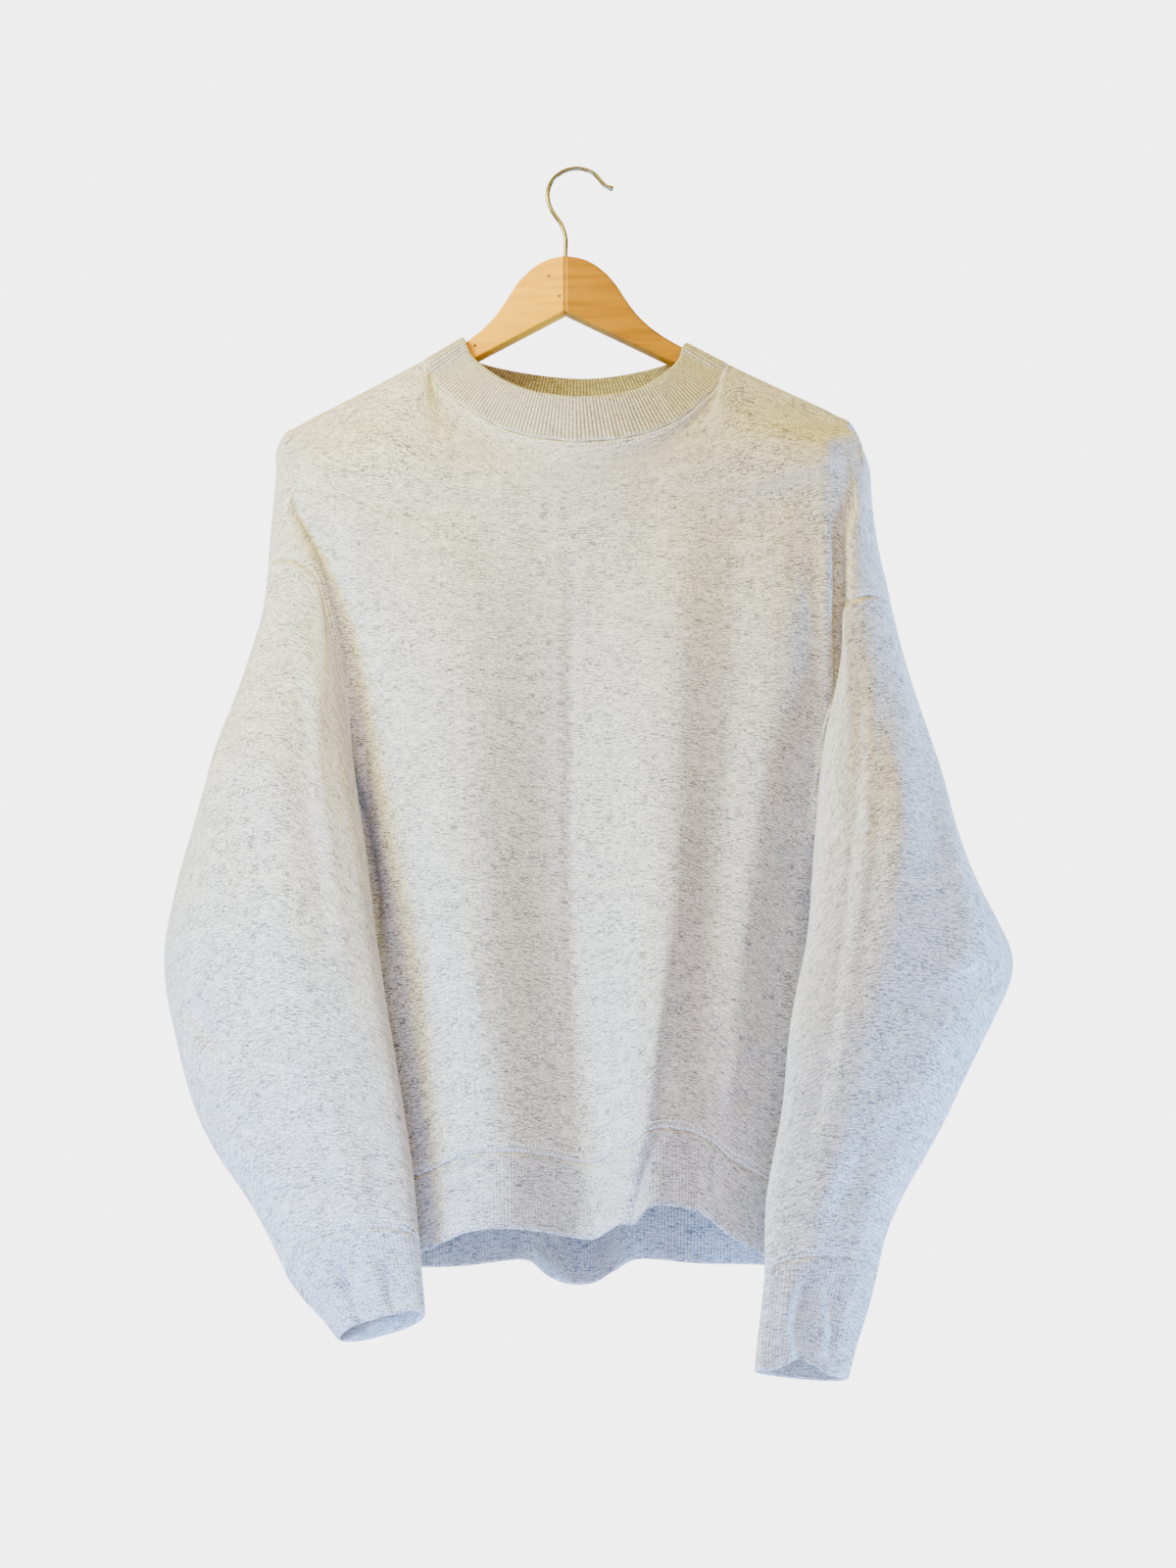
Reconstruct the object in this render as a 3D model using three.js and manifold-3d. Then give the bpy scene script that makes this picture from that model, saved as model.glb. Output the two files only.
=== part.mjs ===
// Crewneck sweatshirt on a wooden hanger with a wire hook.
// Millimetres, +Z up, the garment's front faces -Y. The origin is the inside top of the hook,
// where a rail carries it. Every piece of cloth is a closed wall around a middle surface.
import * as THREE from "three";
import { mergeVertices } from "three/addons/utils/BufferGeometryUtils.js";
import Module from "manifold-3d";

const wasm = await Module();
wasm.setup();

// Cloth
const FLEECE = 2.4; // wall of the body and sleeves
const RIB = 3.0; // doubled rib of collar, cuffs and hem band
const SEAM_GAP = 0.5; // between two pieces at a seam
const CLEAR = 1.4; // cloth to wood

// Hanger, measured from its own centre line
const CENTRE_X = -8.5; // the centre line hangs this far from the rail's line
const WOOD_THICK = 13;
const WOOD_END = 225;
const WOOD_EDGE = 6.2;
const ARM_SWEEP = 0.12; // the arms lead back to the wall
const ARM_TOP = { x: 84, z: -146, slope: 0.5 };
const ARM_UNDER = { z: -123.6, slope: 0.49 };
const WIRE = 3.5;
const HOOK = { x: 8.5, radius: 22.8, from: 28, to: 196 };

// Neck: seam is the lower edge of the rib collar, top its free edge
const NECK_FRONT = [
  { seamX: -112, seamY: 13.4, seamZ: -158.1, topX: -81, topY: 9.7, topZ: -141 },
  { seamX: -110, seamY: 5.2, seamZ: -160.4, topX: -79, topY: 1.6, topZ: -145.2 },
  { seamX: -106, seamY: 2.2, seamZ: -172, topX: -74, topY: -2.6, topZ: -157 },
  { seamX: -96, seamY: -5, seamZ: -189, topX: -64, topY: -9, topZ: -170 },
  { seamX: -72, seamY: -17, seamZ: -212, topX: -44, topY: -20, topZ: -188 },
  { seamX: -40, seamY: -28, seamZ: -234, topX: -20, topY: -29, topZ: -201 },
  { seamX: 20, seamY: -38, seamZ: -247.5, topX: 20, topY: -35, topZ: -208 },
  { seamX: 80, seamY: -28, seamZ: -232.5, topX: 58, topY: -27, topZ: -199 },
  { seamX: 106, seamY: -14, seamZ: -207, topX: 78, topY: -16, topZ: -182 },
  { seamX: 120, seamY: -2, seamZ: -187, topX: 88, topY: -6, topZ: -168 },
  { seamX: 124, seamY: 4, seamZ: -174, topX: 91, topY: 1, topZ: -157.5 },
  { seamX: 126, seamY: 7, seamZ: -168.6, topX: 93, topY: 3.2, topZ: -152 },
  { seamX: 127, seamY: 15.2, seamZ: -165.6, topX: 95, topY: 11.4, topZ: -148.8 },
];
const NECK_BACK = [
  { seamX: -112, seamY: 13.4, seamZ: -158.1, topX: -81, topY: 9.7, topZ: -141 },
  { seamX: -111, seamY: 21.8, seamZ: -160.8, topX: -79.5, topY: 17.8, topZ: -145.4 },
  { seamX: -104, seamY: 27, seamZ: -173, topX: -74, topY: 23, topZ: -151 },
  { seamX: -62, seamY: 37, seamZ: -194, topX: -46, topY: 31, topZ: -157.5 },
  { seamX: 12, seamY: 45, seamZ: -202, topX: 14, topY: 37, topZ: -163.5 },
  { seamX: 82, seamY: 38, seamZ: -195, topX: 62, topY: 31, topZ: -160 },
  { seamX: 118, seamY: 28.4, seamZ: -178, topX: 86, topY: 24.6, topZ: -155 },
  { seamX: 126, seamY: 23.6, seamZ: -168.3, topX: 94, topY: 19.6, topZ: -152.2 },
  { seamX: 127, seamY: 15.2, seamZ: -165.6, topX: 95, topY: 11.4, topZ: -148.8 },
];
const COLLAR_RIBS = 188;
const RIB_RISE = 0.45;

// A sleeve is a bent lens: edge is its fold beside the body, rear its other end, and front
// and back are how far its two faces swell from the line between them.
const SLEEVE_LEFT = [
  { z: -240, edgeX: -222, edgeY: 15, rearX: -224, rearY: 40, front: 5, back: 5 },
  { z: -292, edgeX: -212, edgeY: 0, rearX: -222, rearY: 58, front: 15, back: 12 },
  { z: -338, edgeX: -196, edgeY: -12, rearX: -216, rearY: 74, front: 28, back: 18 },
  { z: -439, edgeX: -176.5, edgeY: -26, rearX: -245, rearY: 78, front: 44, back: 26 },
  { z: -495, edgeX: -167, edgeY: -32, rearX: -274, rearY: 66, front: 46, back: 28 },
  { z: -575, edgeX: -152, edgeY: -42, rearX: -299, rearY: 46, front: 36, back: 27 },
  { z: -638, edgeX: -143, edgeY: -48, rearX: -308, rearY: 42, front: 36, back: 27 },
  { z: -700, edgeX: -133, edgeY: -52, rearX: -297, rearY: 36, front: 33, back: 26 },
  { z: -774, edgeX: -120, edgeY: -55, rearX: -274, rearY: 24, front: 28, back: 24 },
  { z: -833, edgeX: -111, edgeY: -55, rearX: -237, rearY: 12, front: 24, back: 22 },
  { z: -890, edgeX: -106, edgeY: -52, rearX: -205, rearY: 2, front: 19, back: 20 },
];
const SLEEVE_RIGHT = [
  { z: -240, edgeX: 228, edgeY: 12, rearX: 226, rearY: 40, front: 8, back: 5 },
  { z: -296, edgeX: 224, edgeY: -5, rearX: 222, rearY: 60, front: 16, back: 12 },
  { z: -364, edgeX: 217.5, edgeY: -14, rearX: 232, rearY: 80, front: 27, back: 18 },
  { z: -422, edgeX: 217, edgeY: -20, rearX: 248, rearY: 84, front: 31, back: 22 },
  { z: -487, edgeX: 207.5, edgeY: -28, rearX: 268, rearY: 80, front: 40, back: 26 },
  { z: -530, edgeX: 202, edgeY: -34, rearX: 284, rearY: 68, front: 44, back: 28 },
  { z: -588, edgeX: 194, edgeY: -40, rearX: 311, rearY: 54, front: 42, back: 27 },
  { z: -651, edgeX: 187, edgeY: -45, rearX: 338, rearY: 40, front: 32, back: 26 },
  { z: -680, edgeX: 181, edgeY: -47, rearX: 329, rearY: 36, front: 30, back: 26 },
  { z: -726, edgeX: 173, edgeY: -50, rearX: 307, rearY: 30, front: 28, back: 25 },
  { z: -779, edgeX: 168, edgeY: -51, rearX: 282, rearY: 24, front: 25, back: 23 },
  { z: -864, edgeX: 154, edgeY: -51, rearX: 239, rearY: 8, front: 20, back: 20 },
  { z: -900, edgeX: 153, edgeY: -50, rearX: 230, rearY: 3, front: 17, back: 18 },
];
// shoulder, edge and under are heights on the armhole seam; cuff is the height of the cuff seam,
// with what its rear end and its front face add
const LEFT = {
  sign: -1, sleeve: SLEEVE_LEFT, shoulder: -322, edge: -338, under: -545,
  cuff: { z: -888, rear: -8, front: 14 }, neckX: -112,
};
const RIGHT = {
  sign: 1, sleeve: SLEEVE_RIGHT, shoulder: -364, edge: -372, under: -585,
  cuff: { z: -903, rear: 4, front: 9 }, neckX: 127,
};
const SHOULDER_TURN = 85; // degrees round the sleeve, from its rear end over the front
const UNDER_TURN = 245;
const SLEEVE_SQUARE = 0.86; // under 1 gives the lens fuller corners
const SLEEVE_FACET = { width: 0.28, share: 0.5 }; // slanted planes beside the front's two ends

// Far end of each cuff
const CUFF_LEFT = {
  z: -939, edgeX: -102, edgeY: -44, rearX: -166, rearY: 0, front: 11, back: 12,
  rear: -5, tilt: 3, notch: 0,
};
const CUFF_RIGHT = {
  z: -979, edgeX: 144, edgeY: -46, rearX: 208, rearY: 0, front: 10, back: 12,
  rear: 1, tilt: 0, notch: 9,
};

// Body: each fold is a line down a panel, given by x and y at four heights; u is its place across
const FOLD_HEIGHTS = [-290, -420, -620, -818];
const FRONT_FOLDS = [
  { fold: "left corner", u: 0, x: [-198, -158, -143, -128], y: [-4, -6, -12, -14] },
  { fold: "left rise", u: 0.12, x: [-165, -132, -115, -98], y: [-19, -26, -30, -36] },
  { fold: "left ridge", u: 0.31, x: [-80, -72, -62, -44], y: [-31, -44, -52, -60] },
  { fold: "centre valley", u: 0.51, x: [10, 6, 8, 18], y: [-37, -34, -28, -30] },
  { fold: "right ridge", u: 0.7, x: [92, 88, 80, 66], y: [-32, -49, -60, -69] },
  { fold: "right valley", u: 0.79, x: [132, 130, 114, 100], y: [-25, -37, -43, -52] },
  { fold: "right rise", u: 0.88, x: [166, 164, 142, 125], y: [-20, -38, -42, -40] },
  { fold: "right corner", u: 1, x: [203, 200, 168, 152], y: [-12, -19, -13, -14] },
];
const BACK_FOLDS = [
  { fold: "left corner", u: 0, x: [-200, -184, -176, -150], y: [50, 62, 50, 34] },
  { fold: "left ridge", u: 0.22, x: [-120, -112, -104, -84], y: [44, 62, 66, 58] },
  { fold: "left valley", u: 0.38, x: [-52, -48, -46, -34], y: [44, 53, 48, 44] },
  { fold: "centre ridge", u: 0.54, x: [12, 10, 10, 12], y: [47, 58, 72, 86] },
  { fold: "right valley", u: 0.68, x: [66, 62, 60, 56], y: [44, 52, 48, 46] },
  { fold: "right ridge", u: 0.82, x: [128, 124, 116, 100], y: [44, 60, 62, 56] },
  { fold: "right corner", u: 1, x: [203, 206, 196, 182], y: [50, 66, 52, 36] },
];
const SIDE_SEAM = {
  left: { z: [-620, -700, -818], x: [-176, -172, -152], y: [18, 20, 10] },
  right: { z: [-650, -720, -818], x: [204, 198, 184], y: [18, 20, 11] },
};
const HEM_DROOP = 12; // the hem hangs lower at the side seams
// What lifts the hem over its own line, u being the place across: a pleat on the front,
// a box pleat that hangs low on the back
const HEM_FRONT = [
  { u: 0, lift: -12 }, { u: 0.12, lift: -8 }, { u: 0.23, lift: 0 }, { u: 0.4, lift: 1 },
  { u: 0.55, lift: -2 }, { u: 0.61, lift: 3 }, { u: 0.67, lift: 3 }, { u: 0.71, lift: 14 },
  { u: 0.76, lift: 16 }, { u: 0.81, lift: 12 }, { u: 0.88, lift: -2 }, { u: 1, lift: -12 },
];
const HEM_BACK = [
  { u: 0, lift: -12 }, { u: 0.1, lift: -4 }, { u: 0.38, lift: 0 }, { u: 0.46, lift: -11 },
  { u: 0.52, lift: -12 }, { u: 0.58, lift: -8 }, { u: 0.68, lift: 0 }, { u: 0.9, lift: -4 },
  { u: 1, lift: -12 },
];
const BAND_HEIGHT = 57;

// How finely the pieces are divided
const SHOULDER_STEPS = { end: 5, rest: 4 };
const NECK_STEPS = { front: 16, back: 10 };
const LIMB_STEPS = { front: 12, back: 14 };
const SIDE_STEPS = 9;
const SLEEVE_RINGS = 15;
const WRAP_ROWS = 2; // rows that turn over the top of the hanger
const YOKE_ROW = 5; // first row that hangs freely
const SHOULDER_ROW = 7; // row that ends where the armhole seam starts
const TOP_ROW = -228; // height of the last row on the hanger's end
const CORNER_START = -275; // height of the shoulder row at a panel's corner
const ROW_SAG = 32; // rows below the neck dip this much at the centre

const mix = (a, b, t) => a + (b - a) * t;
const mix3 = (a, b, t) => a.map((v, i) => mix(v, b[i], t));
const clamp01 = (t) => Math.min(1, Math.max(0, t));
const ease = (t) => clamp01(t) ** 2 * (3 - 2 * clamp01(t));
const rad = (degrees) => (degrees * Math.PI) / 180;
const sub = (a, b) => a.map((v, i) => v - b[i]);
const add = (a, b, k = 1) => a.map((v, i) => v + k * b[i]);
const dot = (a, b) => a[0] * b[0] + a[1] * b[1] + a[2] * b[2];
const length = (a) => Math.hypot(...a);
const unit = (a) => a.map((v) => v / (length(a) || 1));
const cross = (a, b) => [
  a[1] * b[2] - a[2] * b[1], a[2] * b[0] - a[0] * b[2], a[0] * b[1] - a[1] * b[0],
];

// A smooth curve through (keys, values) that never overshoots; flat beyond its ends.
function curve(keys, values, at) {
  const rising = keys[keys.length - 1] > keys[0];
  const k = rising ? keys : [...keys].reverse();
  const v = rising ? values : [...values].reverse();
  const last = k.length - 1;
  if (at <= k[0]) return v[0];
  if (at >= k[last]) return v[last];
  let i = 0;
  while (at > k[i + 1]) i += 1;
  const slope = (j) => (v[j + 1] - v[j]) / (k[j + 1] - k[j]);
  const tangent = (j) => {
    if (j === 0) return slope(0);
    if (j === last) return slope(last - 1);
    const [a, b] = [slope(j - 1), slope(j)];
    return a * b <= 0 ? 0 : (2 * a * b) / (a + b);
  };
  const step = k[i + 1] - k[i];
  const t = (at - k[i]) / step;
  const [t2, t3] = [t * t, t * t * t];
  return (2 * t3 - 3 * t2 + 1) * v[i] + (t3 - 2 * t2 + t) * step * tangent(i)
    + (3 * t2 - 2 * t3) * v[i + 1] + (t3 - t2) * step * tangent(i + 1);
}

const column = (rows, name, at) => curve(rows.map((r) => r.z), rows.map((r) => r[name]), at);

// Places at chosen fractions of a line of points: the piece i of the line and how far along it
function places(points, fractions) {
  const run = [0];
  for (let i = 1; i < points.length; i += 1) {
    run.push(run[i - 1] + length(sub(points[i], points[i - 1])));
  }
  const total = run[run.length - 1];
  return fractions.map((fraction) => {
    const at = total * fraction;
    let i = 0;
    while (i < run.length - 2 && run[i + 1] < at) i += 1;
    return { i, t: clamp01((at - run[i]) / (run[i + 1] - run[i] || 1)) };
  });
}

const evenly = (steps) => Array.from({ length: steps + 1 }, (_, n) => n / steps);
const respace = (points, steps, spread = (f) => f) => places(points, evenly(steps).map(spread))
  .map(({ i, t }) => mix3(points[i], points[i + 1], t));

// The hanger's arms
const armTop = (x) => ARM_TOP.z - ARM_TOP.slope * (Math.abs(x) - ARM_TOP.x);
const armCentreY = (x) => ARM_SWEEP * Math.abs(x);
const seat = (wall) => (CLEAR + wall / 2) * Math.hypot(1, ARM_TOP.slope);
const WOOD_TOP = {
  x: [0, 11, 22, 32, 39.5, 47, 56, 68, 84, WOOD_END],
  z: [-75, -76.4, -81, -89, -97.8, -110, -123, -135, ARM_TOP.z, armTop(WOOD_END)],
};
const woodTop = (x) => curve(WOOD_TOP.x, WOOD_TOP.z, Math.abs(x));
const woodUnder = (x) => ARM_UNDER.z - ARM_UNDER.slope * Math.abs(x);

// Moves a point of the cloth off the arm it would cut
function clearOfWood(p, wall) {
  if (Math.abs(p[0]) > WOOD_END) return p;
  const half = WOOD_THICK / 2;
  const z = Math.min(woodTop(p[0]) - half, Math.max(woodUnder(p[0]) + half, p[2]));
  const away = [0, p[1] - armCentreY(p[0]), p[2] - z];
  const need = half + seat(wall) + 1.8;
  return length(away) >= need ? p : add(sub(p, away), unit(away), need);
}

// Lens section of a sleeve or cuff, at a turn in degrees
function lens(row, sign, turn) {
  const middle = [(row.edgeX + row.rearX) / 2, (row.edgeY + row.rearY) / 2];
  const half = [(row.rearX - row.edgeX) / 2, (row.rearY - row.edgeY) / 2];
  const size = Math.hypot(...half);
  const out = [(sign * half[1]) / size, (-sign * half[0]) / size];
  const square = (v) => Math.sign(v) * Math.abs(v) ** SLEEVE_SQUARE;
  const along = square(Math.cos(rad(turn)));
  const round = square(Math.sin(rad(turn)));
  const facet = Math.min(1, (1 - Math.abs(along)) / (2 * SLEEVE_FACET.width));
  const swell = round > 0 ? mix(round, facet, SLEEVE_FACET.share) * row.front : round * row.back;
  return [middle[0] + half[0] * along + out[0] * swell, middle[1] + half[1] * along + out[1] * swell];
}

function sleevePoint(side, turn, z) {
  const row = {};
  for (const name of ["edgeX", "edgeY", "rearX", "rearY", "front", "back"]) {
    row[name] = column(side.sleeve, name, z);
  }
  return [...lens(row, side.sign, turn), z];
}

// Height of the armhole seam at a turn round the sleeve
function armholeZ(side, turn) {
  const t = ((((turn - SHOULDER_TURN) % 360) + 360) % 360) + SHOULDER_TURN;
  if (t <= 180) {
    return mix(side.shoulder, side.edge, ((t - SHOULDER_TURN) / (180 - SHOULDER_TURN)) ** 2);
  }
  if (t <= UNDER_TURN) {
    const u = (t - 180) / (UNDER_TURN - 180);
    return mix(side.edge, side.under, 1 - (1 - u) ** 2);
  }
  const w = (SHOULDER_TURN + 360 - t) / (SHOULDER_TURN + 360 - UNDER_TURN);
  return mix(side.shoulder, side.under, ((1 - Math.cos(Math.PI * w)) / 2) ** 1.8);
}

const cuffZ = (side, turn) => side.cuff.z + side.cuff.rear * Math.cos(rad(turn))
  + side.cuff.front * Math.sin(rad(turn));

// Turns of the armhole's points from shoulder to underarm, evenly spaced along the seam
function limbTurns(side, face) {
  const steps = LIMB_STEPS[face];
  const end = face === "front" ? UNDER_TURN : UNDER_TURN - 360;
  const fine = Array.from({ length: 241 }, (_, n) => mix(SHOULDER_TURN, end, n / 240));
  const run = [0];
  const place = (turn) => sleevePoint(side, turn, armholeZ(side, turn));
  for (let i = 1; i < fine.length; i += 1) {
    run.push(run[i - 1] + length(sub(place(fine[i]), place(fine[i - 1]))));
  }
  return Array.from({ length: steps + 1 }, (_, n) => {
    const at = (run[run.length - 1] * n) / steps;
    if (n === steps) return fine[fine.length - 1];
    let i = 0;
    while (i < run.length - 2 && run[i + 1] < at) i += 1;
    return mix(fine[i], fine[i + 1], (at - run[i]) / (run[i + 1] - run[i]));
  });
}

// Shoulder seam on top of the arm, from its outer end to the neck
function shoulderSeam(side) {
  const neck = (side.sign < 0 ? NECK_FRONT[0] : NECK_FRONT[NECK_FRONT.length - 1]);
  const outer = side.sign * (WOOD_END - 3);
  const inner = side.sign * 205;
  const xs = [];
  for (let n = 0; n < SHOULDER_STEPS.end; n += 1) xs.push(mix(outer, inner, n / SHOULDER_STEPS.end));
  for (let n = 0; n <= SHOULDER_STEPS.rest; n += 1) {
    xs.push(mix(inner, neck.seamX, n / SHOULDER_STEPS.rest));
  }
  return xs.map((x) => [x, armCentreY(x), armTop(x) + seat(FLEECE)]);
}

// Outer line of the drop shoulder, from the end of the arm down to the armhole seam
function hangingSeam(side) {
  const tip = side.sign * (WOOD_END + 2 * CLEAR + FLEECE / 2);
  const y = armCentreY(WOOD_END);
  const points = [[tip, y, armTop(WOOD_END) - 6], [tip + side.sign, y, armTop(WOOD_END) - 15]];
  const steps = SHOULDER_ROW - WRAP_ROWS;
  for (let n = 1; n <= steps; n += 1) {
    const z = mix(TOP_ROW, side.shoulder, n / steps);
    points.push(sleevePoint(side, SHOULDER_TURN, z));
  }
  return points;
}

function sideSeam(side, hemZ) {
  const seam = side.sign < 0 ? SIDE_SEAM.left : SIDE_SEAM.right;
  const under = sleevePoint(side, UNDER_TURN, side.under);
  const keys = [side.under, ...seam.z];
  const xs = [under[0], ...seam.x];
  const ys = [under[1], ...seam.y];
  return Array.from({ length: SIDE_STEPS }, (_, n) => {
    const z = mix(side.under, hemZ, (n + 1) / SIDE_STEPS);
    const at = mix(side.under, seam.z[2], (n + 1) / SIDE_STEPS);
    return [curve(keys, xs, at), curve(keys, ys, at), z];
  });
}

// Height of a row on the free part of a panel, at one side
function rowHeights(side, face) {
  const rows = [0, 0, 0];
  const steps = SHOULDER_ROW - WRAP_ROWS;
  for (let n = 1; n <= steps; n += 1) rows.push(mix(TOP_ROW, CORNER_START, n / steps));
  const flat = face === "front" ? limbTurns(side, face).filter((t) => t < 180).length : 0;
  const knee = flat ? side.edge + 4 : CORNER_START;
  for (let n = 1; n <= flat; n += 1) rows.push(mix(CORNER_START, knee, n / flat));
  const left = LIMB_STEPS[face] - flat;
  const bend = flat ? 1 : 1.3;
  for (let n = 1; n <= left; n += 1) rows.push(mix(knee, side.under, (n / left) ** bend));
  for (let n = 1; n <= SIDE_STEPS; n += 1) {
    rows.push(mix(side.under, FOLD_HEIGHTS[3], n / SIDE_STEPS));
  }
  return rows;
}

function foldPoint(folds, u, z) {
  const us = folds.map((f) => f.u);
  const at = (name) => curve(us, folds.map((f) => curve(FOLD_HEIGHTS, f[name], z)), u);
  return [at("x"), at("y"), z];
}

// What the hem's lift adds to a height, at u across and z down
function hemShift(face, u, z) {
  const rows = face === "front" ? HEM_FRONT : HEM_BACK;
  return ease((-600 - z) / 200) * curve(rows.map((r) => r.u), rows.map((r) => r.lift), u);
}

function neckLine(face) {
  const rows = face === "front" ? NECK_FRONT : NECK_BACK;
  const line = (x, y, z) => new THREE.CatmullRomCurve3(
    rows.map((r) => new THREE.Vector3(r[x], r[y], r[z])), false, "centripetal");
  const steps = NECK_STEPS[face];
  const seam = line("seamX", "seamY", "seamZ").getPoints(400).map((p) => p.toArray());
  const closerAtEnds = (f) => f - (0.5 * Math.sin(2 * Math.PI * f)) / (2 * Math.PI);
  return respace(seam, steps, closerAtEnds);
}

// A panel's middle surface as rows of points, from its left edge to its right edge
function panel(face) {
  const folds = face === "front" ? FRONT_FOLDS : BACK_FOLDS;
  const toward = face === "front" ? -1 : 1;
  const sides = [LEFT, RIGHT];
  const heights = sides.map((side) => rowHeights(side, face));
  const turns = sides.map((side) => limbTurns(side, face));
  const limbs = sides.map((side, n) => turns[n].map((t) => sleevePoint(side, t, armholeZ(side, t))));
  const shoulders = sides.map(shoulderSeam);
  const hanging = sides.map(hangingSeam);
  const seams = sides.map((side) => sideSeam(side, FOLD_HEIGHTS[3] - HEM_DROOP));
  const neck = neckLine(face);
  const top = [...shoulders[0].slice(0, -1), ...neck, ...shoulders[1].slice(0, -1).reverse()];
  const inner = top.length - 1 - 2 * SHOULDER_STEPS.end;
  const wrapRadius = WOOD_THICK / 2 + seat(FLEECE);

  const sag = (r) => ROW_SAG * (1 - ease((r - SHOULDER_ROW) / 7));
  const heightAt = (r, u) => mix(heights[0][r], heights[1][r], u) - sag(r) * (1 - (2 * u - 1) ** 2);
  const free = (r, u) => {
    const z = heightAt(r, u);
    const p = foldPoint(folds, u, z);
    return [p[0], p[1], z + hemShift(face, u, z)];
  };
  const overArm = (p, turn) => add(
    p, [0, toward * wrapRadius * Math.sin(turn), -wrapRadius * (1 - Math.cos(turn))]);
  // rows above the yoke: over the hanger, then hanging to the yoke row
  const upper = (r, n) => {
    const start = top[SHOULDER_STEPS.end + n];
    const u = n / inner;
    const rest = SHOULDER_STEPS.rest;
    const onArm = ease(1.25 - Math.max(0, Math.min(n, inner - n) - rest) / 1.6);
    const turn = rad(90 * Math.min(1, r / WRAP_ROWS));
    const over = overArm(start, turn);
    const end = free(YOKE_ROW, u);
    const below = free(YOKE_ROW + 1, u);
    const path = (from, t) => {
      const span = length(sub(end, from));
      const leave = sub(end, from);
      const arrive = unit(sub(below, end)).map((v) => v * span);
      const [t2, t3] = [t * t, t * t * t];
      return from.map((v, i) => (2 * t3 - 3 * t2 + 1) * v + (t3 - 2 * t2 + t) * leave[i]
        + (3 * t2 - 2 * t3) * end[i] + (t3 - t2) * arrive[i]);
    };
    const armed = r <= WRAP_ROWS ? over : path(
      add(start, [0, toward * wrapRadius, -wrapRadius]), (r - WRAP_ROWS) / (YOKE_ROW - WRAP_ROWS));
    return mix3(path(start, r / YOKE_ROW), armed, onArm);
  };
  const middle = (r, n) => {
    if (r === 0) return top[SHOULDER_STEPS.end + n];
    return r < YOKE_ROW ? upper(r, n) : free(r, n / inner);
  };
  // the stretch beside a sleeve: round the sleeve's own form, into the groove, out to the corner
  const beside = (s, r) => {
    const side = sides[s];
    const corner = middle(r, s === 0 ? 0 : inner);
    const limb = r - SHOULDER_ROW;
    const limbEnd = LIMB_STEPS[face];
    if (limb > limbEnd) {
      const seam = seams[s][limb - limbEnd - 1];
      const full = side.sign * 6 * ease((limb - limbEnd - 1) / 4);
      const belly = [mix(seam[0], corner[0], 0.5) + full, mix(seam[1], corner[1], 0.5)];
      const pull = (t) => [0, 1].map((i) => (1 - t) ** 2 * seam[i] + 2 * t * (1 - t) * belly[i]
        + t * t * corner[i]);
      const line = evenly(12).map((t) => [...pull(t), mix(seam[2], corner[2], t)]);
      return respace(line, SHOULDER_STEPS.end);
    }
    const start = limb <= 0 ? SHOULDER_TURN : turns[s][limb];
    const z0 = limb <= 0 ? hanging[s][r - 1][2] : limbs[s][limb][2];
    const z1 = corner[2];
    const deep = ease((-246 - z1) / 66);
    const bottom = face === "front" ? 180 + 34 * deep : -30 * deep;
    const turnsLeft = toward * (start - bottom) > 0;
    const onCap = face === "front" && limb >= 0 && start < 180;
    const line = [sleevePoint(side, start, z0)];
    if (turnsLeft) {
      for (let n = 1; n <= 14; n += 1) {
        const t = mix(start, bottom, n / 14);
        const seamZ = armholeZ(side, Math.min(t, 180));
        const over = mix(seamZ, z1 + seamZ - side.edge, n / 14);
        line.push(sleevePoint(side, t, onCap ? over : mix(z0, z1, n / 14)));
      }
    }
    line.push(corner);
    return respace(line, SHOULDER_STEPS.end);
  };
  const rows = [];
  for (let r = 0; r < heights[0].length; r += 1) {
    const row = [];
    for (let n = 0; n <= inner; n += 1) row.push(middle(r, n));
    const ends = [0, 1].map((s) => {
      if (r === 0) return shoulders[s].slice(0, SHOULDER_STEPS.end);
      if (r > WRAP_ROWS) return beside(s, r).slice(0, SHOULDER_STEPS.end);
      return shoulders[s].slice(0, SHOULDER_STEPS.end).map((p, n) => {
        const over = overArm(p, rad((90 * r) / WRAP_ROWS));
        return mix3(hanging[s][r - 1], over, ease(n / 1.5));
      });
    });
    rows.push([...ends[0], ...row, ...ends[1].reverse()]);
  }
  return rows;
}

// Closed ring of a sleeve: the armhole seam at w = 0, the cuff seam at w = 1
function sleeveRing(side, w) {
  const front = limbTurns(side, "front");
  const back = limbTurns(side, "back").reverse().map((t) => t + 360);
  const turns = [...front, ...back.slice(1, -1)];
  return turns.map((turn, n) => {
    const even = SHOULDER_TURN + (360 * n) / turns.length;
    const t = mix(turn, even, ease(w / 0.4));
    return sleevePoint(side, t, mix(armholeZ(side, turn), cuffZ(side, t), w));
  });
}

function cuffRing(side, end, w) {
  const start = sleeveRing(side, 1);
  return start.map((p, n) => {
    const turn = SHOULDER_TURN + (360 * n) / start.length;
    const [x, y] = lens(end, side.sign, turn);
    const notch = end.notch * Math.exp(-(((turn - 100) / 22) ** 2));
    const z = end.z + end.rear * Math.cos(rad(turn)) + end.tilt * Math.sin(rad(turn)) + notch;
    const t = mix(w, ease(w), 0.3);
    return [mix(p[0], x, t), mix(p[1], y, t), mix(p[2], z, w)];
  });
}

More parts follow.
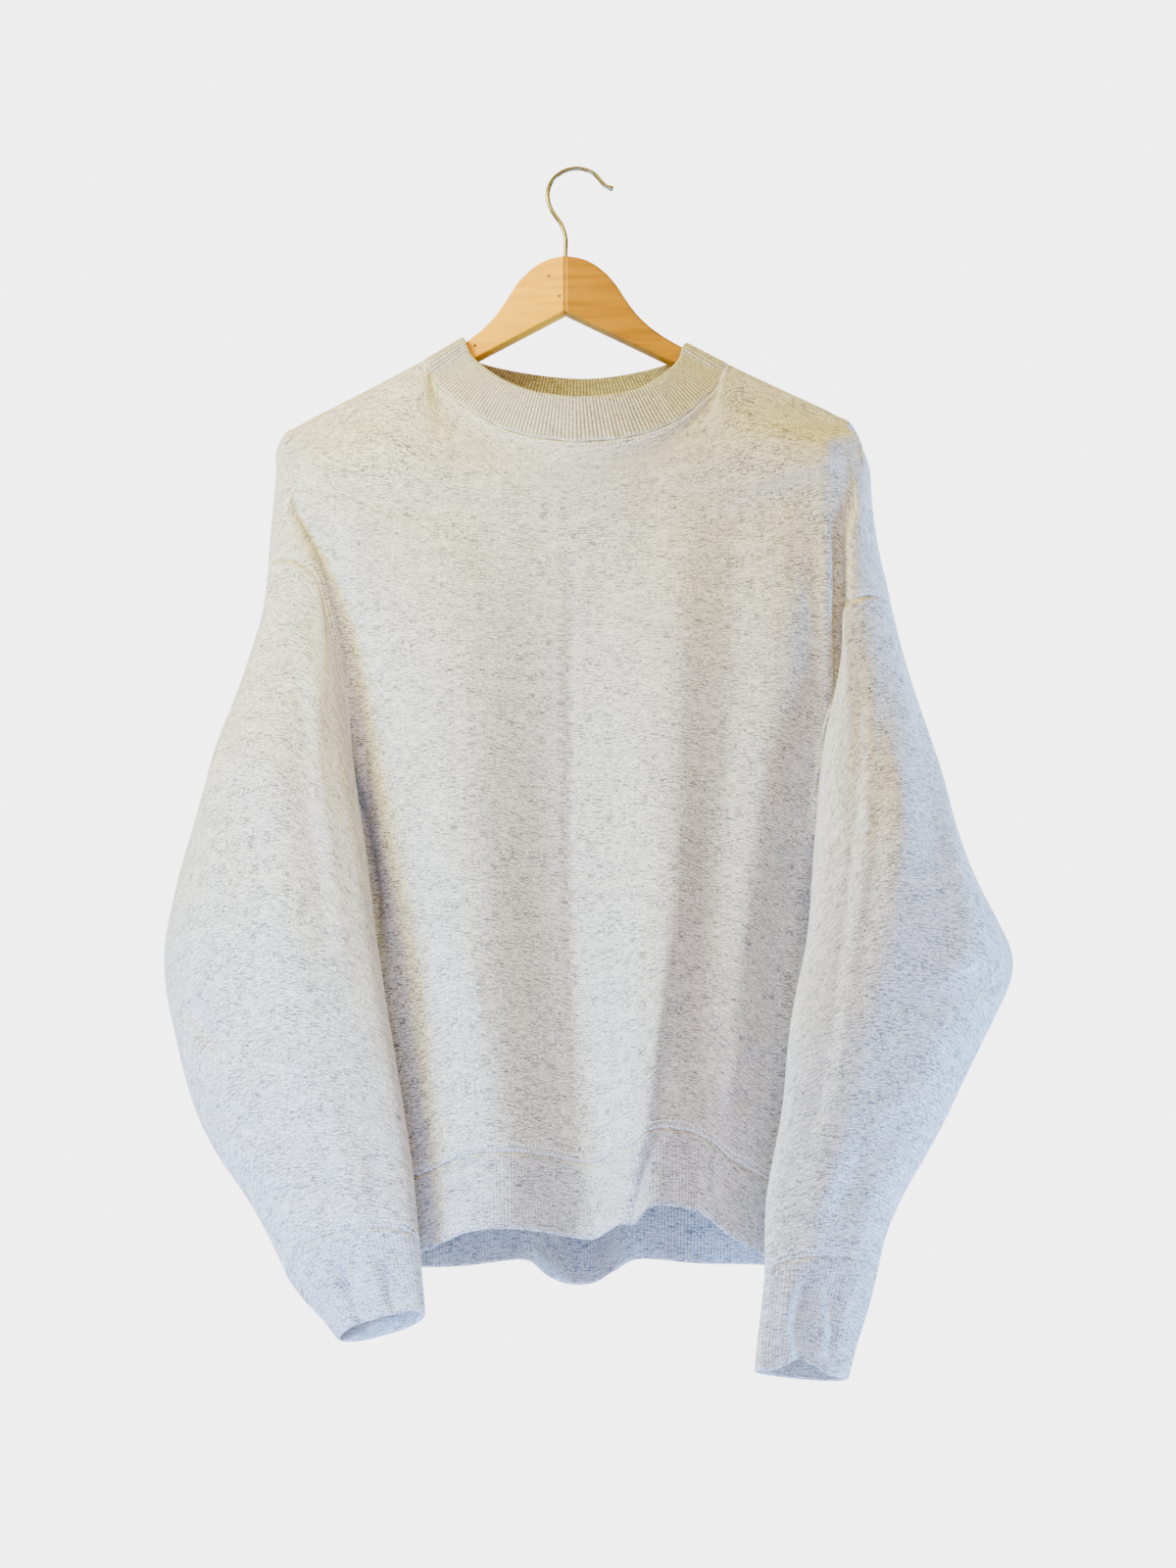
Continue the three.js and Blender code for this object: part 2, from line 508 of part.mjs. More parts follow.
// Grids of middle points, one for each piece of cloth
const grids = {};
const facing = (side, rings) => (side.sign > 0 ? rings.map((r) => [...r].reverse()) : rings);
grids.front = { rows: panel("front"), closed: false, wall: FLEECE };
grids.back = { rows: panel("back").map((row) => [...row].reverse()), closed: false, wall: FLEECE };
for (const [name, side] of [["sleeve_left", LEFT], ["sleeve_right", RIGHT]]) {
  const rings = evenly(SLEEVE_RINGS).map((w) => sleeveRing(side, w));
  grids[name] = { rows: facing(side, rings), closed: true, wall: FLEECE };
}
for (const [name, side, end] of [["cuff_left", LEFT, CUFF_LEFT], ["cuff_right", RIGHT, CUFF_RIGHT]]) {
  const rings = [0, 0.33, 0.67, 1].map((w) => cuffRing(side, end, w));
  grids[name] = { rows: facing(side, rings), closed: true, wall: RIB };
}

function bandRings() {
  const last = (g) => g.rows[g.rows.length - 1];
  const loop = [...last(grids.front), ...last(grids.back).slice(1, -1)];
  const centre = [18, 10];
  return [0, 0.5, 1].map((w) => loop.map((p) => [
    mix(p[0], centre[0], 0.015 * w), mix(p[1], centre[1], 0.04 * w), p[2] - BAND_HEIGHT * w,
  ]));
}
grids.hem_band = { rows: bandRings(), closed: true, wall: RIB };

// The collar's ribs stand on its outer points. Its lower edge follows the panels' neck points.
const NECK_LOOP = [...neckLine("front"), ...neckLine("back").reverse().slice(1)];
const COLLAR_PLACES = places(NECK_LOOP, evenly(2 * COLLAR_RIBS).slice(0, -1));

function collarRings() {
  const topLine = (rows) => new THREE.CatmullRomCurve3(
    rows.map((r) => new THREE.Vector3(r.topX, r.topY, r.topZ)), false, "centripetal")
    .getPoints(400).map((p) => p.toArray());
  const count = 2 * COLLAR_RIBS;
  const topFront = respace(topLine(NECK_FRONT), 200);
  const topBack = respace(topLine(NECK_BACK), 200).reverse();
  const run = (line) => line.slice(1).reduce((sum, p, i) => sum + length(sub(p, line[i])), 0);
  const frontRun = run(neckLine("front"));
  const whole = run(NECK_LOOP);
  const seam = COLLAR_PLACES.map(({ i, t }) => mix3(NECK_LOOP[i], NECK_LOOP[i + 1], t));
  const pick = (line, t) => {
    const at = clamp01(t) * (line.length - 1);
    const i = Math.min(line.length - 2, Math.floor(at));
    return mix3(line[i], line[i + 1], at - i);
  };
  const top = seam.map((_, n) => {
    const at = (whole * n) / count;
    return at <= frontRun ? pick(topFront, at / frontRun)
      : pick(topBack, (at - frontRun) / (whole - frontRun));
  });
  return [top, seam];
}
grids.collar = { rows: collarRings(), closed: true, wall: RIB };
for (const name of ["front", "back", "collar"]) {
  const grid = grids[name];
  grid.rows = grid.rows.map((row) => row.map((p) => clearOfWood(p, name === "collar" ? RIB : FLEECE)));
}

// Normals, shared where pieces meet
const surfaceNormal = (rows, closed, i, j) => {
  const n = rows[0].length;
  const left = closed ? rows[i][(j - 1 + n) % n] : rows[i][Math.max(0, j - 1)];
  const right = closed ? rows[i][(j + 1) % n] : rows[i][Math.min(n - 1, j + 1)];
  const above = rows[Math.max(0, i - 1)][j];
  const below = rows[Math.min(rows.length - 1, i + 1)][j];
  return unit(cross(sub(below, above), sub(right, left)));
};

const keyOf = (p) => p.map((v) => Math.round(v * 50)).join(",");
const meeting = new Map();
for (const [name, grid] of Object.entries(grids)) {
  const { rows, closed } = grid;
  const last = rows.length - 1;
  grid.normals = rows.map((row, i) => row.map((_, j) => surfaceNormal(rows, closed, i, j)));
  if (name === "collar") continue;
  rows.forEach((row, i) => row.forEach((p, j) => {
    const end = row.length - 1;
    const border = i === 0 || i === last || (!closed && (j === 0 || j === end));
    if (!border) return;
    const across = rows[i][j === 0 ? 1 : end - 1];
    const inward = i === 0 ? rows[1][j] : i === last ? rows[last - 1][j] : across;
    const key = keyOf(p);
    if (!meeting.has(key)) meeting.set(key, []);
    meeting.get(key).push({ name, i, j, normal: grid.normals[i][j], out: unit(sub(p, inward)) });
  }));
}

// Direction along a piece's border at a point of it
function alongBorder(grid, i, j) {
  const { rows, closed } = grid;
  const n = rows[0].length;
  if (i === 0 || i === rows.length - 1) {
    const row = rows[i];
    const a = closed ? row[(j - 1 + n) % n] : row[Math.max(0, j - 1)];
    const b = closed ? row[(j + 1) % n] : row[Math.min(n - 1, j + 1)];
    return unit(sub(b, a));
  }
  return unit(sub(rows[i + 1][j], rows[i - 1][j]));
}

function settleBorders() {
  const moved = [];
  for (const list of meeting.values()) {
    if (list.length < 2) continue;
    const shared = unit(list.reduce((sum, e) => add(sum, e.normal), [0, 0, 0]));
    for (const e of list) {
      const grid = grids[e.name];
      const across = unit(cross(alongBorder(grid, e.i, e.j), shared));
      let way = Math.sign(dot(e.out, across)) || 1;
      if (list.length === 2) {
        const other = list[0] === e ? list[1] : list[0];
        way = dot(e.out, across) > dot(other.out, across) ? 1 : -1;
      }
      const corner = list.length > 2;
      const stretch = Math.min(2.2, 1 / Math.max(0.2, dot(shared, e.normal)));
      const gap = !corner ? SEAM_GAP / 2 : SEAM_GAP * (e.name.startsWith("sleeve") ? 0.8 : 1.8);
      moved.push({ grid, e, to: add(grid.rows[e.i][e.j], across, -way * gap),
        normal: shared.map((v) => v * (corner ? 1 : stretch)) });
    }
  }
  for (const { grid, e, to, normal } of moved) {
    grid.rows[e.i][e.j] = to;
    grid.normals[e.i][e.j] = normal;
  }
}
settleBorders();

// The collar's lower edge and the panels' neck edges part along one shared line
function settleNeck() {
  const first = SHOULDER_STEPS.end + SHOULDER_STEPS.rest;
  const { front, back, collar } = grids;
  const backEnd = back.rows[0].length - 1 - first;
  const panelPoint = (k) => (k <= NECK_STEPS.front ? [front, first + k]
    : [back, backEnd - (NECK_STEPS.back - (k - NECK_STEPS.front))]);
  const loop = NECK_LOOP.map((p) => clearOfWood(p, FLEECE));
  const last = loop.length - 1;
  const shared = loop.map((p, k) => {
    const n = COLLAR_PLACES.findIndex(({ i, t }) => i + t >= k % last);
    const [grid, j] = panelPoint(k % last);
    const panelNormal = grid.normals[0][j];
    const collarNormal = collar.normals[1][Math.max(0, n)];
    const normal = unit(add(unit(panelNormal), collarNormal));
    const along = unit(sub(loop[k === last ? 1 : k + 1], loop[k === 0 ? last - 1 : k - 1]));
    const across = unit(cross(along, normal));
    const up = Math.sign(dot(across, sub(collar.rows[0][Math.max(0, n)], p))) || 1;
    const stretch = Math.min(1.1, 1 / Math.max(0.4, dot(normal, collarNormal)));
    return { normal: normal.map((v) => v * stretch), across: across.map((v) => v * up) };
  });
  const both = (k) => (k === 0 || k === NECK_STEPS.front ? [[front, first + k], [back,
    k === 0 ? backEnd : backEnd - NECK_STEPS.back]] : [panelPoint(k)]);
  for (let k = 0; k < last; k += 1) {
    for (const [grid, j] of both(k)) {
      grid.rows[0][j] = add(grid.rows[0][j], shared[k].across, -SEAM_GAP / 2);
      grid.normals[0][j] = shared[k].normal;
    }
  }
  const edge = loop.map((p, k) => add(p, shared[k].across, SEAM_GAP / 2));
  COLLAR_PLACES.forEach(({ i, t }, n) => {
    collar.rows[1][n] = mix3(edge[i], edge[i + 1], t);
    collar.normals[1][n] = mix3(shared[i].normal, shared[i + 1].normal, t);
  });
}
settleNeck();

// Closed wall round a grid of middle points
function wallGeometry(name, grid) {
  const { rows, normals, closed, wall } = grid;
  const [m, n] = [rows.length, rows[0].length];
  const positions = [];
  const isCollar = name === "collar";
  for (const face of [1, -1]) {
    for (let i = 0; i < m; i += 1) {
      for (let j = 0; j < n; j += 1) {
        const groove = isCollar && face > 0 && j % 2 ? RIB_RISE : 0;
        positions.push(...add(rows[i][j], normals[i][j], face * (wall / 2 - groove)));
      }
    }
  }
  const at = (face, i, j) => face * m * n + i * n + (closed ? j % n : j);
  const index = [];
  const quad = (a, b, c, d) => index.push(a, b, c, a, c, d);
  const wide = closed ? n : n - 1;
  for (let i = 0; i < m - 1; i += 1) {
    for (let j = 0; j < wide; j += 1) {
      quad(at(0, i, j), at(0, i + 1, j), at(0, i + 1, j + 1), at(0, i, j + 1));
      quad(at(1, i, j), at(1, i, j + 1), at(1, i + 1, j + 1), at(1, i + 1, j));
    }
  }
  for (let j = 0; j < wide; j += 1) {
    quad(at(0, 0, j), at(0, 0, j + 1), at(1, 0, j + 1), at(1, 0, j));
    quad(at(0, m - 1, j), at(1, m - 1, j), at(1, m - 1, j + 1), at(0, m - 1, j + 1));
  }
  if (!closed) {
    for (let i = 0; i < m - 1; i += 1) {
      quad(at(0, i, 0), at(1, i, 0), at(1, i + 1, 0), at(0, i + 1, 0));
      quad(at(0, i, n - 1), at(0, i + 1, n - 1), at(1, i + 1, n - 1), at(1, i, n - 1));
    }
  }
  const geometry = new THREE.BufferGeometry();
  geometry.setAttribute("position", new THREE.Float32BufferAttribute(positions, 3));
  geometry.setIndex(index);
  return geometry;
}

// Solids cut and joined
function toSolid(geometry) {
  const clean = geometry.clone();
  clean.deleteAttribute("normal");
  clean.deleteAttribute("uv");
  const merged = mergeVertices(clean, 1e-4);
  return new wasm.Manifold(new wasm.Mesh({
    numProp: 3,
    vertProperties: Float32Array.from(merged.attributes.position.array),
    triVerts: Uint32Array.from(merged.index.array),
  }));
}

function fromSolid(solid) {
  const mesh = solid.getMesh();
  const geometry = new THREE.BufferGeometry();
  geometry.setAttribute("position", new THREE.Float32BufferAttribute(mesh.vertProperties, 3));
  geometry.setIndex([...mesh.triVerts]);
  return geometry;
}

// One half of the wooden hanger: rounded sections along its arm
const WOOD_STATIONS = [0.15, 11, 22, 32, 39.5, 47, 56, 68, 84, 110, 145, 185, 204, 213, 219, 223];

function woodHalf(sign) {
  const rings = WOOD_STATIONS.map((x) => {
    const end = Math.max(0, (x - 206) / (WOOD_END - 206)) ** 2;
    const top = woodTop(x) - 3 * end;
    const bottom = woodUnder(x) + 3 * end;
    const half = WOOD_THICK / 2 - 5 * end;
    const ring = [];
    for (const [cy, cz, from] of [[1, 1, 0], [-1, 1, 90], [-1, -1, 180], [1, -1, 270]]) {
      const r = cz > 0 ? Math.min(WOOD_EDGE, half - 0.2) : 2;
      for (const turn of [0, 45, 90]) {
        const a = rad(from + turn);
        ring.push([sign * x, ARM_SWEEP * x + cy * (half - r) + r * Math.cos(a),
          (cz > 0 ? top - r : bottom + r) + r * Math.sin(a)]);
      }
    }
    return ring;
  });
  const n = rings[0].length;
  const positions = rings.flat(2);
  const index = [];
  const tri = (a, b, c) => (sign > 0 ? index.push(a, b, c) : index.push(a, c, b));
  for (let i = 0; i < rings.length - 1; i += 1) {
    for (let j = 0; j < n; j += 1) {
      const [a, b] = [i * n + j, i * n + ((j + 1) % n)];
      tri(a, b, b + n);
      tri(a, b + n, a + n);
    }
  }
  const lastRing = (rings.length - 1) * n;
  for (let j = 1; j < n - 1; j += 1) {
    tri(0, j + 1, j);
    tri(lastRing, lastRing + j, lastRing + j + 1);
  }
  const geometry = new THREE.BufferGeometry();
  geometry.setAttribute("position", new THREE.Float32BufferAttribute(positions, 3));
  geometry.setIndex(index);
  const bore = new THREE.CylinderGeometry(WIRE / 2 + SEAM_GAP, WIRE / 2 + SEAM_GAP, 60, 16);
  bore.rotateX(Math.PI / 2);
  bore.translate(0, 0, WOOD_TOP.z[0]);
  return fromSolid(toSolid(geometry).subtract(toSolid(bore)));
}

function hookGeometry() {
  const points = [[0, -100], [0, -70], [0, -58], [-3.4, -46.5], [-10.2, -35.5]];
  for (let n = 0; n <= 7; n += 1) {
    const turn = rad(mix(HOOK.to, HOOK.from, n / 7));
    points.push([HOOK.x + HOOK.radius * Math.cos(turn),
      WIRE / 2 - HOOK.radius + HOOK.radius * Math.sin(turn)]);
  }
  points.push([31.4, -13.6], [35, -15.6]);
  const bends = points.map(([x, z]) => new THREE.Vector3(x, 0, z));
  const path = new THREE.CatmullRomCurve3(bends, false, "centripetal");
  const section = new THREE.Shape();
  section.absarc(0, 0, WIRE / 2, 0, 2 * Math.PI, false);
  const wire = new THREE.ExtrudeGeometry(section, {
    steps: 36, curveSegments: 5, bevelEnabled: false, extrudePath: path,
  });
  const ball = new THREE.SphereGeometry(WIRE * 0.66, 10, 8);
  ball.translate(35, 0, -15.6);
  return fromSolid(toSolid(wire).add(toSolid(ball)));
}

// Materials
const cloth = (color) => new THREE.MeshStandardMaterial({ color, roughness: 0.95, metalness: 0 });
const FLEECE_COLOUR = 0xcdcac3;
const RIB_COLOUR = 0xcfcabb;
const wood = (color) => new THREE.MeshStandardMaterial({ color, roughness: 0.45, metalness: 0 });
const chrome = new THREE.MeshStandardMaterial({ color: 0xb9b9bb, roughness: 0.2, metalness: 1 });

const garment = new THREE.Group();
garment.position.x = CENTRE_X;

function addPiece(name, geometry, material) {
  geometry.computeVertexNormals();
  const mesh = new THREE.Mesh(geometry, material);
  mesh.name = name;
  garment.add(mesh);
}

const ribbed = ["collar", "cuff_left", "cuff_right", "hem_band"];
for (const [name, grid] of Object.entries(grids)) {
  const colour = ribbed.includes(name) ? RIB_COLOUR : FLEECE_COLOUR;
  addPiece(name, wallGeometry(name, grid), cloth(colour));
}
addPiece("hanger_left", woodHalf(-1), wood(0xf0bf66));
addPiece("hanger_right", woodHalf(1), wood(0xdb9a1e));
addPiece("hook", hookGeometry(), chrome);

export default garment;
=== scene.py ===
import math

import bpy
import numpy as np
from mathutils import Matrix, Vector


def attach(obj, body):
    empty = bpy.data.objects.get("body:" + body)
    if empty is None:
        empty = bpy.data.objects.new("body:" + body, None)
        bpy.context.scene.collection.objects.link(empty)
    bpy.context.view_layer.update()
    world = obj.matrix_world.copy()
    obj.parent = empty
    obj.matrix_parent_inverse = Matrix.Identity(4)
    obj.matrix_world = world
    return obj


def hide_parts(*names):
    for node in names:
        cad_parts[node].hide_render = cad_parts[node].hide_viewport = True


# Looks of a heather ash crewneck sweatshirt on a wooden hanger with a wire hook.
# The garment is worked out in millimetres from the hanger's centre line, +Z up and its front
# toward -Y, then set in metres.
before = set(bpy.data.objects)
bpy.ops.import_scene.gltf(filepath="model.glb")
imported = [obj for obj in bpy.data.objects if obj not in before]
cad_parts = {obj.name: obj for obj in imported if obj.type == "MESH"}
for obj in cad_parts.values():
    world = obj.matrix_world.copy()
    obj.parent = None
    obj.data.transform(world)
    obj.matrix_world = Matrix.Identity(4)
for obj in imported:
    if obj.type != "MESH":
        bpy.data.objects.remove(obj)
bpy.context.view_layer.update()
CENTRE_X = -8.5

# Camera
CAMERA = {"place": (0.2085, -3.7990, -1.7495), "azimuth": 3.0, "elevation": -18.0, "lens": 120.0}

# Cloth: wall of the fleece and of the ribs, their gaps to the wood, and the wall left at a seam
FLEECE = 2.3
RIB = 2.9
CLEAR = 1.4
WOOD_GAP = 1.8
SEAM_DRAW = 0.55

# Hanger
WOOD_THICK = 13.0
WOOD_END = 225.0
WOOD_ROUND = 206
WOOD_EDGE = 4.2
ARM_SWEEP = 0.12
ARM_TOP = {"x": 84.0, "z": -146.0, "slope": 0.5}
ARM_UNDER = {"z": -123.6, "slope": 0.49}
WIRE = 3.5
HOOK = {"x": 8.5, "radius": 22.8, "from": 28.0, "to": 196.0}
WOOD_TOP_X = [0, 11, 22, 32, 39.5, 47, 56, 68, 84, 225]
WOOD_TOP_Z = [-75, -76.4, -81, -89, -97.8, -110, -123, -135, -146, -216.5]

# Neck: seam x, y, z, then the free edge's x, y, z
NECK_FRONT = [
    (-112, 13.4, -158.1, -81, 9.7, -141), (-110, 5.2, -160.4, -79, 1.6, -145.2),
    (-106, 2.2, -172, -74, -2.6, -157), (-96, -5, -189, -64, -9, -170),
    (-72, -17, -212, -44, -20, -188), (-40, -28, -234, -20, -29, -201),
    (20, -38, -247.5, 20, -35, -208), (80, -28, -232.5, 58, -27, -199),
    (106, -14, -207, 78, -16, -182), (120, -2, -187, 88, -6, -168),
    (124, 4, -174, 91, 1, -157.5), (126, 7, -168.6, 93, 3.2, -152),
    (127, 15.2, -165.6, 95, 11.4, -148.8),
]
NECK_BACK = [
    (-112, 13.4, -158.1, -81, 9.7, -141), (-111, 21.8, -160.8, -79.5, 17.8, -145.4),
    (-104, 27, -173, -74, 23, -151), (-62, 37, -194, -46, 31, -157.5),
    (12, 45, -202, 14, 37, -163.5), (82, 38, -195, 62, 31, -160),
    (118, 28.4, -178, 86, 24.6, -155), (126, 23.6, -168.3, 94, 19.6, -152.2),
    (127, 15.2, -165.6, 95, 11.4, -148.8),
]
# Ribs: the last pair is how much painted shade darkens the grooves on the outer and on the inner face
COLLAR_RIB = {"count": 188, "depth": 0.55, "painted_groove_shades": (1.0, 1.0)}
BAND_RIB = {"pitch": 2.6, "depth": 0.25, "painted_groove_shades": (0.3, 0.4)}

# Sleeves: height, fold beside the body, other end, swell of the front and of the back
SLEEVE_COLUMNS = ("z", "edge_x", "edge_y", "rear_x", "rear_y", "front", "back")
SLEEVE_LEFT = [
    (-240, -222, 15, -224, 40, 5, 5), (-292, -212, 0, -222, 58, 15, 12),
    (-338, -196, -12, -216, 74, 28, 18), (-439, -176.5, -26, -245, 78, 44, 26),
    (-495, -167, -32, -274, 66, 46, 28), (-575, -152, -42, -299, 46, 36, 27),
    (-638, -143, -48, -308, 42, 36, 27), (-700, -133, -52, -297, 36, 33, 26),
    (-774, -120, -55, -274, 24, 28, 24), (-833, -111, -55, -237, 12, 24, 22),
    (-890, -106, -52, -205, 2, 19, 20),
]
SLEEVE_RIGHT = [
    (-240, 228, 12, 226, 40, 8, 5), (-296, 224, -5, 222, 60, 16, 12),
    (-364, 217.5, -14, 232, 80, 27, 18), (-422, 217, -20, 248, 84, 31, 22),
    (-487, 207.5, -28, 268, 80, 40, 26), (-530, 202, -34, 284, 68, 44, 28),
    (-588, 194, -40, 311, 54, 42, 27), (-651, 187, -45, 338, 40, 32, 26),
    (-680, 181, -47, 329, 36, 30, 26), (-726, 173, -50, 307, 30, 28, 25),
    (-779, 168, -51, 282, 24, 25, 23), (-864, 154, -51, 239, 8, 20, 20),
    (-900, 153, -50, 230, 3, 17, 18),
]
LEFT = {"sign": -1, "sleeve": SLEEVE_LEFT, "shoulder": -322, "edge": -338, "under": -545,
        "cuff": (-888, -8, 14)}
RIGHT = {"sign": 1, "sleeve": SLEEVE_RIGHT, "shoulder": -364, "edge": -372, "under": -585,
         "cuff": (-903, 4, 9)}
SHOULDER_TURN = 85
UNDER_TURN = 245
SLEEVE_SQUARE = 0.86
SLEEVE_FACET = {"width": 0.28, "share": 0.5}
CUFF_LEFT = {"z": -939, "edge_x": -102, "edge_y": -44, "rear_x": -166, "rear_y": 0, "front": 11,
             "back": 12, "lean": -5, "tilt": 3, "notch": 0}
CUFF_RIGHT = {"z": -979, "edge_x": 144, "edge_y": -46, "rear_x": 208, "rear_y": 0, "front": 10,
              "back": 12, "lean": 1, "tilt": 0, "notch": 9}

# Body folds: place across, then x and y at four heights
FOLD_HEIGHTS = [-290, -420, -620, -818]
FRONT_FOLDS = [
    (0, [-198, -158, -143, -128], [-4, -6, -12, -14]),
    (0.12, [-165, -132, -115, -98], [-19, -26, -30, -36]),
    (0.31, [-80, -72, -62, -44], [-31, -44, -52, -60]),
    (0.51, [10, 6, 8, 18], [-37, -34, -28, -30]),
    (0.7, [92, 88, 80, 66], [-32, -49, -60, -69]),
    (0.79, [132, 130, 114, 100], [-25, -37, -43, -52]),
    (0.88, [166, 164, 142, 125], [-20, -38, -42, -40]),
    (1, [203, 200, 168, 152], [-12, -19, -13, -14]),
]
BACK_FOLDS = [
    (0, [-200, -184, -176, -150], [50, 62, 50, 34]),
    (0.22, [-120, -112, -104, -84], [44, 62, 66, 58]),
    (0.38, [-52, -48, -46, -34], [44, 53, 48, 44]),
    (0.54, [12, 10, 10, 12], [47, 58, 72, 86]),
    (0.68, [66, 62, 60, 56], [44, 52, 48, 46]),
    (0.82, [128, 124, 116, 100], [44, 60, 62, 56]),
    (1, [203, 206, 196, 182], [50, 66, 52, 36]),
]
SIDE_SEAM = {
    -1: ([-620, -700, -818], [-176, -172, -152], [18, 20, 10]),
    1: ([-650, -720, -818], [204, 198, 184], [18, 20, 11]),
}
HEM_DROOP = 12
HEM_LIFT = {
    "front": ([0, 0.12, 0.23, 0.4, 0.55, 0.61, 0.67, 0.71, 0.76, 0.81, 0.88, 1],
              [-12, -8, 0, 1, -2, 3, 3, 14, 16, 12, -2, -12]),
    "back": ([0, 0.1, 0.38, 0.46, 0.52, 0.58, 0.68, 0.9, 1],
             [-12, -4, 0, -11, -12, -8, 0, -4, -12]),
}
BAND = {"height": 57, "centre": (18.0, 10.0), "draw": (0.015, 0.04)}
BAND_ROWS = (0, 0.33, 0.67, 1)

# Creases, listed by piece and by the way the face looks: points in x and z, half width
# and depth. A depth under 0 makes a ridge.
CREASES = {
    ("front", -1): [
        ([(7, -290), (7, -445), (7, -600), (11, -753), (14, -812)], 5, 1.7),
        ([(145, -732), (138, -760), (132, -785)], 6, 3.0),
        ([(178, -430), (166, -560), (150, -700), (146, -780)], 12, 3.2),
        ([(-128, -560), (-112, -650), (-104, -760)], 11, 2.4),
        ([(-70, -640), (-60, -720), (-52, -800)], 9, -1.6),
        ([(44, -470), (40, -620), (44, -790)], 11, 1.5),
        ([(112, -520), (104, -640), (92, -780)], 9, 2.0),
        ([(-170, -262), (-132, -292), (-90, -306)], 13, 1.3),
        ([(196, -268), (160, -300), (118, -316)], 12, 1.4),
        ([(-30, -262), (-22, -300), (-24, -350)], 10, 0.9),
        ([(74, -256), (66, -300), (60, -350)], 10, 0.9),
        ([(216, -290), (213, -345), (212, -400), (212, -450), (206, -505), (198, -590)], 6, 14.0),
        ([(-204, -330), (-190, -400), (-174, -460), (-161, -520), (-150, -580), (-132, -680)], 7, 13.0),
    ],
    ("back", 1): [
        ([(-160, -330), (-110, -372), (-50, -380)], 14, 2.2),
        ([(170, -330), (116, -380), (64, -392)], 13, 2.2),
        ([(-166, -470), (-128, -560), (-118, -680)], 11, 3.0),
        ([(176, -480), (140, -570), (126, -690)], 11, 3.0),
        ([(10, -290), (11, -480), (12, -640), (14, -800)], 6, -1.8),
        ([(-70, -560), (-62, -700), (-58, -800)], 10, 2.2),
        ([(88, -540), (80, -690), (76, -800)], 10, 2.2),
        ([(40, -720), (34, -770), (36, -815)], 7, 2.0),
    ],
    ("sleeve_left", -1): [
        ([(-290, -676), (-286, -683), (-271, -707), (-255, -733), (-249, -742)], 5, 5.0),
        ([(-198, -706), (-186, -726), (-175, -746)], 10, 2.4),
        ([(-214, -352), (-192, -438), (-183, -524), (-168, -626), (-155, -720)], 6, -2.2),
        ([(-237, -430), (-243, -460), (-251, -508), (-263, -570), (-271, -626)], 7, -2.6),
        ([(-268, -756), (-240, -784), (-214, -800)], 10, 2.2),
        ([(-176, -820), (-172, -850), (-176, -880)], 7, 2.4),
        ([(-140, -810), (-136, -840), (-140, -868)], 6, 1.6),
    ],
    ("sleeve_left", 1): [
        ([(-286, -560), (-250, -610), (-214, -626)], 9, 4.0),
        ([(-292, -650), (-256, -690), (-226, -700)], 8, 4.0),
        ([(-226, -430), (-238, -500), (-236, -570)], 9, -2.2),
        ([(-190, -700), (-174, -770), (-166, -840)], 8, 2.6),
        ([(-250, -760), (-214, -800), (-190, -810)], 8, 2.6),
    ],
    ("sleeve_right", -1): [
        ([(238, -372), (235, -457), (232, -535), (228, -587), (219, -661), (209, -736), (199, -786),
          (187, -825), (182, -880)], 5, -2.2),
        ([(228, -805), (214, -840), (200, -872)], 8, 2.8),
        ([(326, -660), (296, -690), (262, -704)], 10, 2.6),
        ([(262, -470), (276, -540), (284, -610)], 11, 1.8),
        ([(276, -770), (252, -790), (234, -826)], 9, 2.4),
    ],
    ("sleeve_right", 1): [
        ([(316, -590), (282, -628), (240, -640)], 9, 4.0),
        ([(318, -690), (280, -716), (248, -720)], 8, 4.0),
        ([(250, -440), (262, -510), (262, -580)], 9, -2.2),
        ([(214, -720), (202, -790), (194, -860)], 8, 2.6),
        ([(278, -770), (246, -806), (224, -820)], 8, 2.6),
    ],
    ("cuff_left", -1): [
        ([(-163, -886), (-158, -912), (-149, -936), (-143, -956)], 5, 6.0),
        ([(-128, -892), (-126, -915), (-121, -940)], 5, 3.0),
    ],
    ("cuff_left", 1): [
        ([(-150, -890), (-146, -915), (-140, -940)], 6, 2.0),
    ],
    ("cuff_right", -1): [
        ([(182, -900), (178, -925), (173, -945), (180, -995)], 6, 5.0),
        ([(192, -915), (199, -945), (194, -975)], 4.5, 3.4),
    ],
    ("cuff_right", 1): [
        ([(184, -905), (178, -940), (176, -980)], 7, 2.2),
    ],
    ("hem_band", -1): [
        ([(84, -836), (80, -850), (77, -868)], 4, 2.0),
    ],
    ("hem_band", 1): [
        ([(-30, -830), (-26, -855), (-22, -885)], 6, 1.8),
    ],
}
# A crease's shape: fade at its ends, unevenness, and its ridge's height, place and width
CREASE = {"fade": 0.3, "uneven": 0.15, "ridge": 0.45, "ridge_at": 1.7, "ridge_width": 0.9}
FACING = (0.15, 0.5)
PLEAT = {"edge": [(87, -611), (77, -703), (66, -802), (56, -840), (46, -880)], "height": 3.2, "width": 4.0,
         "fade": 160}
# Where the shoulders are smoothed, in coarse rows and columns
SHOULDER_EASE = {"reach": 2.6, "spread": 0.45, "top": 1.2, "below_yoke": 4, "beside": 3.4}

# Rows and columns of the coarse form, and how many times each is divided again
END_STEPS, REST_STEPS = 5, 4
NECK_STEPS = {"front": 16, "back": 10}
LIMB_STEPS = {"front": 12, "back": 14}
SIDE_STEPS = 9
SLEEVE_RINGS = 15
WRAP_ROWS, YOKE_ROW, SHOULDER_ROW = 2, 5, 7
TOP_ROW, CORNER_START, ROW_SAG = -228, -275, 32
FINE = 6
PER_RIB = 6
NECK_COLS = (END_STEPS + REST_STEPS) * FINE


def mix(a, b, t):
    return a + (b - a) * t


